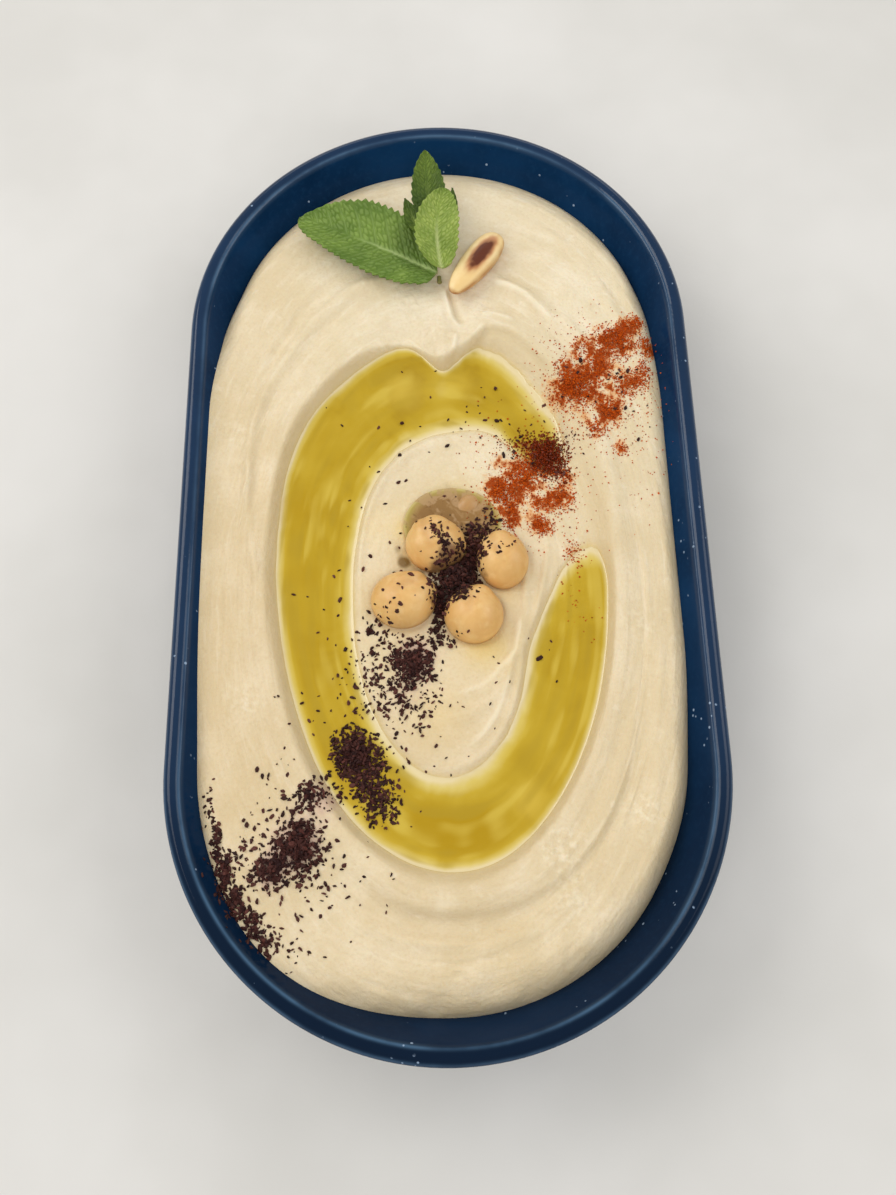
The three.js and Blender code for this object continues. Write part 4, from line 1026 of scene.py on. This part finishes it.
def makeLeaf(name, shape, look):
    base, tip, width, rise, fold, bow, uneven, swell, blunt, teeth, veins = shape
    base, tip = np.array(base, float), np.array(tip, float)
    along = tip - base
    sideways = np.array([-along[1], along[0], 0]) / math.hypot(along[0], along[1])
    up = np.cross(along / np.linalg.norm(along), sideways)
    up = up if up[2] > 0 else -up
    s = np.linspace(0, 1, leafValues["along"] + 1)[:, None]
    t = np.linspace(-1, 1, leafValues["across"] + 1)[None, :]
    swell, blunt = (np.where(t > 0, pair[1], pair[0]) for pair in (swell, blunt))
    outline = np.sin(np.pi * np.clip(s, 1e-6, 1 - 1e-6) ** swell) ** blunt
    saw = np.mod(s * teeth + np.where(t > 0, 0.37, 0.0), 1)
    notch = np.where(saw < 0.7, saw / 0.7, (1 - saw) / 0.3) - 0.55
    tooth = 1 + leafValues["tooth"] * notch * np.abs(t) ** 6
    tooth = tooth * (1 + 0.03 * ripple(s * teeth * 0.6 + 3, np.sign(t) + 0 * s, 58) * np.abs(t) ** 3)
    half = np.maximum(0.22, width / 2 * outline * tooth)
    wave = 0.035 * width * np.sin(2.2 * np.pi * s + 2 * t) * np.abs(t)
    lift = rise * np.sin(np.pi * s) + fold * half * (np.abs(t) ** 1.4 - 0.3) + wave
    slant = s - 0.2 * np.abs(t) ** 1.1 * np.minimum(1, outline * 1.2)
    row = slant * veins * 1.15 + np.where(t > 0, 0.3, 0.0)
    offLine = np.abs(np.mod(row + 0.5, 1) - 0.5)  # 0 on a side vein, 0.5 halfway between two
    length = np.linalg.norm(along)
    cell = leafValues["cell"] * (0.75 if width < 12 else 1)
    u, v = slant * length / cell + 20, t * half / cell + 20 + np.where(t > 0, 3.3, 0)
    edges = cellEdges(u + 0.3 * ripple(u, v, 57), v, 53)
    pillow = smooth(0, 0.42, edges) * smooth(0.02, 0.17, offLine) * smooth(0.02, 0.14, np.abs(t * half) / 2)
    midVein = bell(t * half, 0.2 + 0.2 * (1 - s)) * (1 - smooth(0.3, 0.7, s))
    sideVein = bell(offLine, 0.05) * smooth(0.0, 0.1, np.abs(t)) * (1 - smooth(0.5, 0.9, np.abs(t)))
    calm = 1 - smooth(0.9, 1, np.abs(t))
    quilt = leafValues["quilt"] * (pillow - 0.5) * calm + 0.12 * ripple(s * 18 + 5, t * 4 + 9, 51)
    lift = lift + quilt * min(1, width / 12)
    aside = half * (t + uneven * np.abs(t)) + bow * np.sin(np.pi * s)
    place = base + along * s[..., None] + sideways * aside[..., None] + up * lift[..., None]
    ground = hummusTop(place[..., 0], place[..., 1]) + leafValues["clear"]
    low = place.copy()
    low[..., 2] = np.maximum(place[..., 2], ground)
    high = low.copy()
    high[..., 2] += leafValues["thickness"]
    rows, columns = leafValues["along"] + 1, leafValues["across"] + 1
    total = rows * columns
    corners = np.concatenate([high.reshape(-1, 3), low.reshape(-1, 3)])
    faces = [gridFaces(rows, columns, False), gridFaces(rows, columns, False, total)[:, ::-1]]
    faces += borderFaces(rows, columns, total)
    vein = np.clip(0.22 * sideVein + 0.9 * midVein, 0, 1)
    shade = np.zeros_like(pillow)
    if name == "large":  # deeper green where the young leaves lie over it
        shade = bell(np.hypot(place[..., 0] + 5, place[..., 1] - 69), 4.5)
    if name == "back":
        shade = 1 - smooth(0.25, 0.7, s + 0 * t)
    marks = {key: np.tile(value.ravel(), 2) for key, value in
             {"vein": vein, "pillow": np.clip(pillow, 0, 1), "shade": shade}.items()}
    piece = newPiece(f"mintLeaf{name.capitalize()}", corners, faces, look, marks)
    dress(piece, "mint", f"mint_leaf_{name}")
    return piece


def makeMint():
    broad, young, dark = (makeLeafLook(name, *colours) for name, colours in leafColours.items())
    looks = {"large": broad, "front": young}
    for name, shape in leaves.items():
        makeLeaf(name, shape, looks.get(name, dark))


makeMint()


stemValues = {"along": 16, "around": 20, "radius": 0.55, "cut": (0.6, 58.7), "joint": (0.5, 60.5),
              "green": (112, 112, 52), "brown": (138, 128, 78)}


def makeStem():
    steps, sides, radius = stemValues["along"], stemValues["around"], stemValues["radius"]
    start, end = np.array(stemValues["cut"]), np.array(stemValues["joint"])
    t = np.linspace(0, 1, steps + 1)
    path = start + (end - start) * t[:, None]
    heights = hummusTop(path[:, 0], path[:, 1]) + radius + 0.55
    blunt = np.sqrt(np.clip(1 - (1 - t / 0.18) ** 2, 0.1, 1) * (t < 0.18) + (t >= 0.18))  # the cut end
    size = radius * (0.82 + 0.18 * (1 - t)) * blunt
    angle = np.linspace(0, 2 * np.pi, sides, endpoint=False)
    x = path[:, :1] + size[:, None] * np.cos(angle)
    z = heights[:, None] + size[:, None] * np.sin(angle)
    y = np.repeat(path[:, 1:], sides, 1)
    corners = np.concatenate([np.stack([x, y, z], -1).reshape(-1, 3),
                              [[*path[0], heights[0]], [*path[-1], heights[-1]]]])
    m = LookMaker("mintStalk", 0.45)
    grain = m.remap(m.noise(500, 3, 0.6, 0, (1, 0.2, 1)), 0.3, 0.7)
    base = m.mix(grain, stemValues["green"], stemValues["brown"])
    look = m.finish(base, m.bump(m.noise(1400, 2, 0.5, 0, (1, 0.15, 1)), 0.0001, 0.4))
    piece = newPiece("mintStalk", corners, tubeFaces(steps + 1, sides), look)
    dress(piece, "stem", "mint_stem")


makeStem()
print("mint made")


nutValues = {"around": 72, "along": 90, "body": (243, 207, 142), "pale": (249, 224, 164),
             "edge": (166, 96, 36), "toastEdge": (180, 104, 56), "toast": (88, 28, 0)}


def makeNut():
    around, along = nutValues["around"], nutValues["along"]
    t = np.linspace(0, np.pi, along + 1)[1:-1][:, None]
    angle = np.linspace(0, 2 * np.pi, around, endpoint=False)[None, :]
    taper = 1 - 0.16 * np.cos(t)
    radius = nut["width"] / 2 * taper * np.sin(t) ** 0.8
    radius = radius * (1 + 0.012 * ripple(angle * 6 / (2 * np.pi), t * 3, 61, 6))
    length = -nut["length"] / 2 * np.cos(t) + 0 * angle
    side = radius * np.cos(angle)
    high = radius * np.sin(angle) * nut["height"] / nut["width"]
    # a little flatter on top
    high = high - 0.16 * smooth(0.5, 1, np.sin(angle)) * nut["height"] / 2 * np.sin(t)
    turn = math.radians(nut["turn"])
    lift = float(hummusTop(np.array(nut["x"]), np.array(nut["y"]))) + nut["lift"]

    def placed(side, length, high):
        x = nut["x"] + length * math.cos(turn) - side * math.sin(turn)
        y = nut["y"] + length * math.sin(turn) + side * math.cos(turn)
        return np.stack([x, y, lift + high], -1)

    ends = placed(np.zeros(2), np.array([-1, 1]) * nut["length"] / 2, np.zeros(2))
    corners = np.concatenate([placed(side, length, high).reshape(-1, 3), ends])
    faces = tubeFaces(along - 1, around)
    upward = np.sin(angle) * np.ones_like(t)
    across = side / (nut["width"] / 2)
    farther = length / (nut["length"] / 2)
    toast = bell(np.hypot((across + 0.1) / 0.42, (farther - 0.2) / 0.46), 1) * smooth(0.1, 0.5, upward)
    toast = np.clip(toast * (1.5 + 0.35 * ripple(across * 6 + 9, farther * 9 + 9, 63)), 0, 1)
    # browned edge all round, with painted shade on the sides and underneath
    edge = bell(upward - 0.16, 0.26) + 0.9 * (1 - smooth(-0.2, 0.05, upward))
    edge = edge + bell(1 - np.abs(farther), 0.05)
    edge = np.clip(edge * (0.75 + 0.3 * ripple(angle * 9 / (2 * np.pi), t * 5, 65, 9)), 0, 1)
    marks = {"toast": np.concatenate([toast.ravel(), [0, 0]]), "edge": np.concatenate([edge.ravel(), [1, 1]])}
    m = LookMaker("pineNutSkin", 0.34)
    base = m.mix(m.remap(m.noise(230, 3, 0.6), 0.3, 0.75), nutValues["body"], nutValues["pale"])
    # browned edge with painted shade on the sides and underneath
    base = m.mix(m.times(m.mark("edge"), 0.85), base, nutValues["edge"])
    base = m.mix(m.remap(m.mark("toast"), 0.05, 0.45, 0, 0.8), base, nutValues["toastEdge"])
    base = m.mix(m.remap(m.mark("toast"), 0.3, 0.85, 0, 0.95), base, nutValues["toast"])
    look = m.finish(base, m.bump(m.noise(700, 3, 0.6), 0.00015, 0.4))
    piece = newPiece("pineNut", corners, faces, look, marks)
    dress(piece, "nut", "pine_nut")


makeNut()
print("pine nut made")


sumacValues = {
    "seed": 17, "size": 1.0, "tilt": 0.45,
    # x, y, spread across, spread along, flakes, how high they pile
    "patches": [
        (-17.3, -44.5, 2.4, 2.4, 640, 1.3), (-15.0, -49.4, 2.2, 2.4, 230, 0.5),
        (-12.7, -53.6, 2.0, 2.2, 150, 0.4), (-27.3, -62.1, 2.2, 2.9, 560, 1.1),
        (-32.4, -66.1, 1.6, 1.7, 200, 0.6), (-24.7, -52.3, 2.4, 1.5, 160, 0.3),
        (-6.3, -26.8, 2.2, 2.5, 420, 0.8), (-7.6, -33.4, 3.6, 3.0, 120, 0.1),
        (-11.6, -19.2, 2.4, 1.6, 30, 0.1), (2.6, -10.2, 2.3, 2.3, 560, 2.3),
        (5.8, -4.6, 1.3, 2.2, 230, 1.3), (7.4, 0.6, 2.0, 1.2, 110, 0.5),
        (-0.8, -15.4, 1.0, 2.0, 150, 1.0), (-1.6, -20.2, 0.9, 1.6, 60, 0.5),
        (0.0, -22.8, 2.4, 0.9, 26, 0.1), (9.8, 3.6, 1.2, 1.2, 22, 0.1), (-1.5, -0.9, 0.8, 0.9, 16, 0),
        (-0.3, -3.0, 0.9, 1.1, 26, 0.1), (1.0, -5.4, 1.0, 1.2, 40, 0.2), (-11.0, -31.0, 4.0, 4.0, 110, 0),
        (-13.0, -24.0, 3.0, 4.0, 50, 0), (-14.0, -40.0, 8.0, 9.0, 170, 0),
        (-12.0, -12.0, 8.0, 11.0, 45, 0), (-5.0, 20.0, 10.0, 9.0, 26, 0),
        (-30.0, -61.0, 6.0, 7.0, 130, 0), (-22.0, -70.0, 6.0, 5.0, 40, 0), (11.6, -4.2, 1.8, 1.1, 14, 0),
        (-7.0, -14.0, 3.2, 3.0, 10, 0), (3.6, -14.0, 1.4, 1.2, 16, 0), (11.0, 28.0, 4.0, 4.0, 20, 0),
        (21.5, 17.5, 2.6, 2.2, 16, 0.4), (31.0, 30.0, 8.0, 9.0, 40, 0), (12.0, -30.0, 7.0, 8.0, 12, 0),
        (-44.6, -54.5, 0.7, 2.6, 26, 0), (-42.6, -61.6, 0.6, 2.4, 90, 0.3),
        (-41.0, -67.0, 0.7, 2.2, 150, 0.4), (-38.6, -71.6, 0.8, 2.0, 150, 0.4),
        (-35.6, -75.4, 1.0, 1.6, 120, 0.3), (-32.6, -78.6, 1.2, 1.2, 60, 0.2),
        (-37.0, -66.0, 3.0, 4.0, 60, 0), (-29.0, -80.0, 1.6, 1.6, 16, 0),
    ],
    "maroon": (72, 41, 36), "maroonDark": (46, 26, 25), "maroonWarm": (98, 57, 50),
}
paprikaValues = {
    "seed": 31, "size": 1.0, "tilt": 0.9,
    "patches": [
        (28.4, 32.2, 2.4, 2.4, 1500, 0.5), (37.4, 43.4, 2.3, 2.1, 1200, 0.4),
        (35.6, 26.6, 1.7, 1.6, 480, 0.25), (38.9, 32.7, 1.6, 1.6, 380, 0.2),
        (30.2, 42.2, 1.2, 1.2, 180, 0.1), (33.4, 36.6, 1.5, 1.5, 340, 0.2),
        (42.4, 34.0, 1.3, 1.4, 240, 0.1), (42.6, 48.8, 1.1, 1.1, 180, 0.1),
        (26.4, 37.8, 1.1, 1.1, 130, 0.1), (32.1, 22.2, 1.2, 1.3, 200, 0.1), (37.2, 18.1, 0.8, 0.8, 90, 0),
        (44.4, 43.1, 0.9, 1.7, 240, 0.2), (43.2, 37.0, 0.9, 1.2, 120, 0.1),
        (40.6, 47.2, 1.2, 1.0, 140, 0.1), (32.6, 39.2, 1.2, 1.2, 160, 0.1),
        (13.0, 8.9, 1.9, 1.7, 760, 0.35), (17.0, 12.8, 2.0, 1.8, 700, 0.3),
        (24.3, 7.6, 1.6, 1.7, 340, 0.15), (18.4, 15.6, 2.2, 1.6, 260, 0.1),
        (20.4, 6.4, 1.4, 1.2, 200, 0.1), (13.8, 3.6, 0.9, 1.8, 300, 0.2),
        (20.2, 1.4, 1.3, 1.1, 300, 0.15), (25.4, 12.4, 1.2, 1.2, 110, 0), (26.3, -4.4, 1.2, 1.5, 100, 0),
        (33.0, 34.0, 6.4, 8.0, 1000, 0), (18.0, 9.0, 5.5, 5.5, 640, 0), (14.0, 20.0, 5.0, 5.0, 110, 0),
        (40.0, 20.0, 4.0, 9.0, 120, 0), (26.0, -10.0, 3.0, 7.0, 60, 0),
    ],
    "orange": (206, 92, 14), "red": (176, 66, 8), "dark": (122, 44, 8),
}
wetPepperValues = {"seed": 41, "size": 1.0, "tilt": 0.7,
                   "patches": [(21.9, 17.6, 1.9, 2.4, 1300, 0.9), (17.4, 20.6, 2.6, 1.6, 220, 0.1),
                               (24.4, 13.6, 1.4, 1.6, 160, 0.1), (25.0, 19.8, 1.6, 1.6, 120, 0.1)],
                   "brown": (128, 46, 14), "deep": (86, 30, 10)}


def makeChips(count, sides, seed, width, thick):  # small irregular chips that the scatter repeats
    pick = np.random.default_rng(seed)
    chips = []
    for number in range(count):
        angle = np.linspace(0, 2 * np.pi, sides, endpoint=False) + pick.uniform(-0.2, 0.2, sides)
        reach = pick.uniform(0.72, 1.1, sides)
        x, y = 0.5 * reach * np.cos(angle), 0.5 * width * reach * np.sin(angle)
        bend = pick.uniform(-0.16, 0.16)
        low = np.stack([x, y + bend * x * x * 2, np.full(sides, -0.5 * thick)], -1)
        crown = 0.5 * thick * pick.uniform(0.7, 1.2, sides)
        high = np.stack([x * 0.72, y * 0.66 + bend * x * x * 2, crown], -1)
        mesh = bpy.data.meshes.new(f"chip{seed}_{number}")
        ring = list(range(sides))
        faces = [ring[::-1], [i + sides for i in ring]]
        faces += [[i, (i + 1) % sides, (i + 1) % sides + sides, i + sides] for i in ring]
        mesh.from_pydata(np.concatenate([low, high]).tolist(), [], faces)
        chip = bpy.data.objects.new(mesh.name, mesh)
        bpy.context.scene.collection.objects.link(chip)
        chips.append(chip)
    return chips


def scatterTree(name, chipCount):  # sets chips on points that carry their turn, size and shade
    tree = bpy.data.node_groups.new(name, "GeometryNodeTree")
    sockets = tree.interface
    sockets.new_socket("Grains", in_out="INPUT", socket_type="NodeSocketGeometry")
    sockets.new_socket("Size", in_out="INPUT", socket_type="NodeSocketFloat")
    sockets.new_socket("Seed", in_out="INPUT", socket_type="NodeSocketInt")
    sockets.new_socket("Finish", in_out="INPUT", socket_type="NodeSocketMaterial")
    for number in range(chipCount):
        sockets.new_socket(f"Chip {number + 1}", in_out="INPUT", socket_type="NodeSocketObject")
    sockets.new_socket("Pieces", in_out="OUTPUT", socket_type="NodeSocketGeometry")
    nodes, links = tree.nodes, tree.links
    given, result = nodes.new("NodeGroupInput"), nodes.new("NodeGroupOutput")
    gather = nodes.new("GeometryNodeJoinGeometry")
    for number in range(chipCount):
        chip, wrap = nodes.new("GeometryNodeObjectInfo"), nodes.new("GeometryNodeGeometryToInstance")
        links.new(given.outputs[f"Chip {number + 1}"], chip.inputs["Object"])
        links.new(chip.outputs["Geometry"], wrap.inputs[0])
        links.new(wrap.outputs[0], gather.inputs[0])
    place = nodes.new("GeometryNodeInstanceOnPoints")
    place.inputs["Pick Instance"].default_value = True
    links.new(given.outputs["Grains"], place.inputs["Points"])
    links.new(gather.outputs[0], place.inputs["Instance"])
    kind = nodes.new("FunctionNodeRandomValue")
    kind.data_type = "INT"
    kind.inputs[4].default_value = 0
    kind.inputs[5].default_value = chipCount - 1
    links.new(given.outputs["Seed"], kind.inputs["Seed"])
    links.new(kind.outputs[2], place.inputs["Instance Index"])

    def named(label):
        node = nodes.new("GeometryNodeInputNamedAttribute")
        node.data_type = "FLOAT_VECTOR"
        node.inputs["Name"].default_value = label
        return node.outputs["Attribute"]

    spin = nodes.new("FunctionNodeEulerToRotation")
    links.new(named("spin"), spin.inputs[0])
    links.new(spin.outputs[0], place.inputs["Rotation"])
    grow = nodes.new("ShaderNodeVectorMath")
    grow.operation = "SCALE"
    links.new(named("grain"), grow.inputs[0])
    links.new(given.outputs["Size"], grow.inputs["Scale"])
    links.new(grow.outputs[0], place.inputs["Scale"])
    real, finish = nodes.new("GeometryNodeRealizeInstances"), nodes.new("GeometryNodeSetMaterial")
    links.new(place.outputs[0], real.inputs[0])
    links.new(real.outputs[0], finish.inputs["Geometry"])
    links.new(given.outputs["Finish"], finish.inputs["Material"])
    links.new(finish.outputs[0], result.inputs["Pieces"])
    return tree


def surfaceTrees():
    trees = []
    for piece in [hummusPiece, oilRing, oilPool, dishPiece] + chickpeaPieces:
        mesh = piece.data
        trees.append(BVHTree.FromPolygons([v.co[:] for v in mesh.vertices],
                                          [p.vertices[:] for p in mesh.polygons]))
    return trees


seats = surfaceTrees()


def seatOf(x, y):  # the highest surface under a spot, in metres
    best = None
    for tree in seats:
        point, normal = tree.ray_cast(Vector((x * 0.001, y * 0.001, 0.06)), Vector((0, 0, -1)))[:2]
        if point is not None and (best is None or point.z > best[0].z):
            best = (point, normal)
    return best


def scatterGrains(name, values, chips, look, sizes):
    pick = np.random.default_rng(values["seed"])
    places, spins, grains, shades = [], [], [], []
    for px, py, wide, deep, count, pile in values["patches"]:
        for _ in range(count):
            x, y = px + wide * pick.normal(), py + deep * pick.normal()
            away = math.hypot((x - px) / wide, (y - py) / deep)
            if away > 2.6 or fromSpine(np.array(x), np.array(y)) > 50.5:
                continue
            seat = seatOf(x, y)
            if seat is None:
                continue
            long = sizes["long"][0] + (sizes["long"][1] - sizes["long"][0]) * pick.beta(1.6, 2.4)
            slim = long * pick.uniform(*sizes["slim"])
            thick = long * pick.uniform(*sizes["thick"])
            tips = (pick.normal() * values["tilt"], pick.normal() * values["tilt"])
            lean = Euler((*tips, pick.uniform(0, 6.283)))
            spin = (seat[1].to_track_quat("Z", "Y").to_matrix() @ lean.to_matrix()).to_euler()
            lifted = pile * pick.uniform(0, 1) * math.exp(-away * away / 1.6) + thick * 0.22
            places.append((seat[0].x, seat[0].y, seat[0].z + lifted * 0.001))
            spins.append(tuple(spin))
            grains.append((long * 0.001, slim * 0.001, thick * 0.001))
            shades.append(pick.uniform(0, 1))
    mesh = bpy.data.meshes.new(name)
    mesh.from_pydata(places, [], [])
    for label, kind, data in (("spin", "FLOAT_VECTOR", spins), ("grain", "FLOAT_VECTOR", grains),
                              ("shade", "FLOAT", shades)):
        layer = mesh.attributes.new(label, kind, "POINT")
        field = "vector" if kind == "FLOAT_VECTOR" else "value"
        layer.data.foreach_set(field, np.array(data, np.float32).ravel())
    piece = bpy.data.objects.new(name, mesh)
    bpy.context.scene.collection.objects.link(piece)
    tree = scatterTree(name + "Scatter", len(chips))
    modifier = piece.modifiers.new("scatter", "NODES")
    modifier.node_group = tree
    inputs = {item.name: item.identifier for item in tree.interface.items_tree
              if item.item_type == "SOCKET" and item.in_out == "INPUT"}
    modifier[inputs["Size"]] = values["size"]
    modifier[inputs["Seed"]] = values["seed"]
    modifier[inputs["Finish"]] = look
    for number, chip in enumerate(chips):
        modifier[inputs[f"Chip {number + 1}"]] = chip
    graph = bpy.context.evaluated_depsgraph_get()
    made = bpy.data.meshes.new_from_object(piece.evaluated_get(graph))
    piece.modifiers.remove(modifier)
    piece.data = made
    print(name, "pieces", len(places), "faces", len(made.polygons))
    return piece


def makeGrainLook(name, dark, middle, warm, roughness):
    m = LookMaker(name, roughness, 0.15)
    base = m.mix(m.remap(m.mark("shade"), 0.1, 0.7), dark, middle)
    base = m.mix(m.remap(m.mark("shade"), 0.7, 1.0), base, warm)
    base = m.mix(m.remap(m.noise(2500, 2), 0.45, 0.8, 0, 0.5), base, dark)
    return m.finish(base, m.bump(m.noise(3200, 2), 0.00006, 0.5))


def makeScatter():
    chips = makeChips(4, 7, 5, 0.95, 0.9)
    sumacLook = makeGrainLook("sumacFlake", sumacValues["maroonDark"], sumacValues["maroon"],
                              sumacValues["maroonWarm"], 0.5)
    sumac = scatterGrains("sumacFlakes", sumacValues, chips, sumacLook,
                          {"long": (0.35, 1.8), "slim": (0.36, 0.7), "thick": (0.22, 0.45)})
    grit = makeChips(3, 4, 9, 1.0, 0.9)
    paprikaLook = makeGrainLook("paprikaGrain", paprikaValues["red"], paprikaValues["orange"],
                                paprikaValues["dark"], 0.7)
    paprika = scatterGrains("paprikaGrains", paprikaValues, grit, paprikaLook,
                            {"long": (0.12, 0.58), "slim": (0.6, 1.0), "thick": (0.4, 0.8)})
    wetLook = makeGrainLook("paprikaWet", wetPepperValues["deep"], wetPepperValues["brown"],
                            wetPepperValues["brown"], 0.2)
    wet = scatterGrains("paprikaWetGrains", wetPepperValues, grit, wetLook,
                        {"long": (0.2, 0.7), "slim": (0.6, 1.0), "thick": (0.4, 0.8)})
    dress(sumac, "sumac")
    dress(paprika, "paprika")
    dress(wet, "paprika")
    for chip in chips + grit:
        bpy.data.objects.remove(chip, do_unlink=True)


makeScatter()
print("sumac and paprika made")


lightValues = {
    "sky": (1.0, 0.99, 0.97, 1), "skyStrength": 0.42, "aim": (0, 0, 0.02),
    "leftPower": 5.3, "farPower": 1.6, "rightPower": 3.2, "nearPower": 4.9,
    "warm": (1, 0.98, 0.95), "cool": (0.98, 0.99, 1), "plain": (1, 1, 1),
}
cameraValues = {"place": (0.00081, -0.09778, 0.24882), "pitch": 69.16, "roll": -1.35, "sensor": 36,
                "focalPixels": 1200, "framePixels": 1195}


def makeStage():
    size = 1.6
    m = LookMaker("tablePlaster", 0.6)
    base = m.mix(m.remap(m.noise(9, 4, 0.6), 0.3, 0.7), (214, 212, 207), (226, 224, 220))
    look = m.finish(base, m.bump(m.noise(260, 3, 0.6), 0.0003, 0.2))
    mesh = bpy.data.meshes.new("table")
    square = [(-size, -size, 0), (size, -size, 0), (size, size, 0), (-size, size, 0)]
    mesh.from_pydata(square, [], [(0, 1, 2, 3)])
    mesh.materials.append(look)
    table = bpy.data.objects.new("table", mesh)
    bpy.context.scene.collection.objects.link(table)


def areaLight(name, place, size, power, colour):
    lamp = bpy.data.lights.new(name, "AREA")
    lamp.shape = "RECTANGLE"
    lamp.size, lamp.size_y = size
    lamp.energy = power
    lamp.color = colour
    holder = bpy.data.objects.new(name, lamp)
    holder.location = place
    holder.rotation_euler = (Vector(lightValues["aim"]) - Vector(place)).to_track_quat("-Z", "Y").to_euler()
    bpy.context.scene.collection.objects.link(holder)
    return holder


def makeLight():
    world = bpy.data.worlds.new("studio")
    world.use_nodes = True
    sky = world.node_tree.nodes["Background"]
    sky.inputs["Color"].default_value = lightValues["sky"]
    sky.inputs["Strength"].default_value = lightValues["skyStrength"]
    bpy.context.scene.world = world
    warm, cool, plain = lightValues["warm"], lightValues["cool"], lightValues["plain"]
    areaLight("leftWindow", (-0.75, 0.35, 0.85), (0.8, 0.8), lightValues["leftPower"], warm)
    areaLight("farWindow", (0.05, 0.95, 0.5), (0.9, 0.5), lightValues["farPower"], warm)
    areaLight("rightFill", (0.85, 0.1, 0.8), (0.8, 0.8), lightValues["rightPower"], cool)
    near = areaLight("nearFill", (-0.15, -0.75, 0.95), (0.9, 0.7), lightValues["nearPower"], plain)
    near.visible_glossy = False
    bpy.context.scene.view_settings.view_transform = "Standard"


def makeCamera():
    camera = bpy.data.objects.new("camera", bpy.data.cameras.new("camera"))
    pitch, roll = math.radians(cameraValues["pitch"]), math.radians(cameraValues["roll"])
    forward = Vector((0, math.cos(pitch), -math.sin(pitch)))
    flat = Vector((1, 0, 0))
    upright = flat.cross(forward)
    right = math.cos(roll) * flat + math.sin(roll) * upright
    up = -math.sin(roll) * flat + math.cos(roll) * upright
    turn = Matrix((right, up, -forward)).transposed().to_4x4()
    camera.matrix_world = Matrix.Translation(cameraValues["place"]) @ turn
    camera.data.sensor_width = cameraValues["sensor"]
    camera.data.lens = cameraValues["focalPixels"] * cameraValues["sensor"] / cameraValues["framePixels"]
    camera.data.clip_start = 0.01
    bpy.context.scene.collection.objects.link(camera)
    bpy.context.scene.camera = camera


makeStage()
makeLight()
makeCamera()
print("stage made")
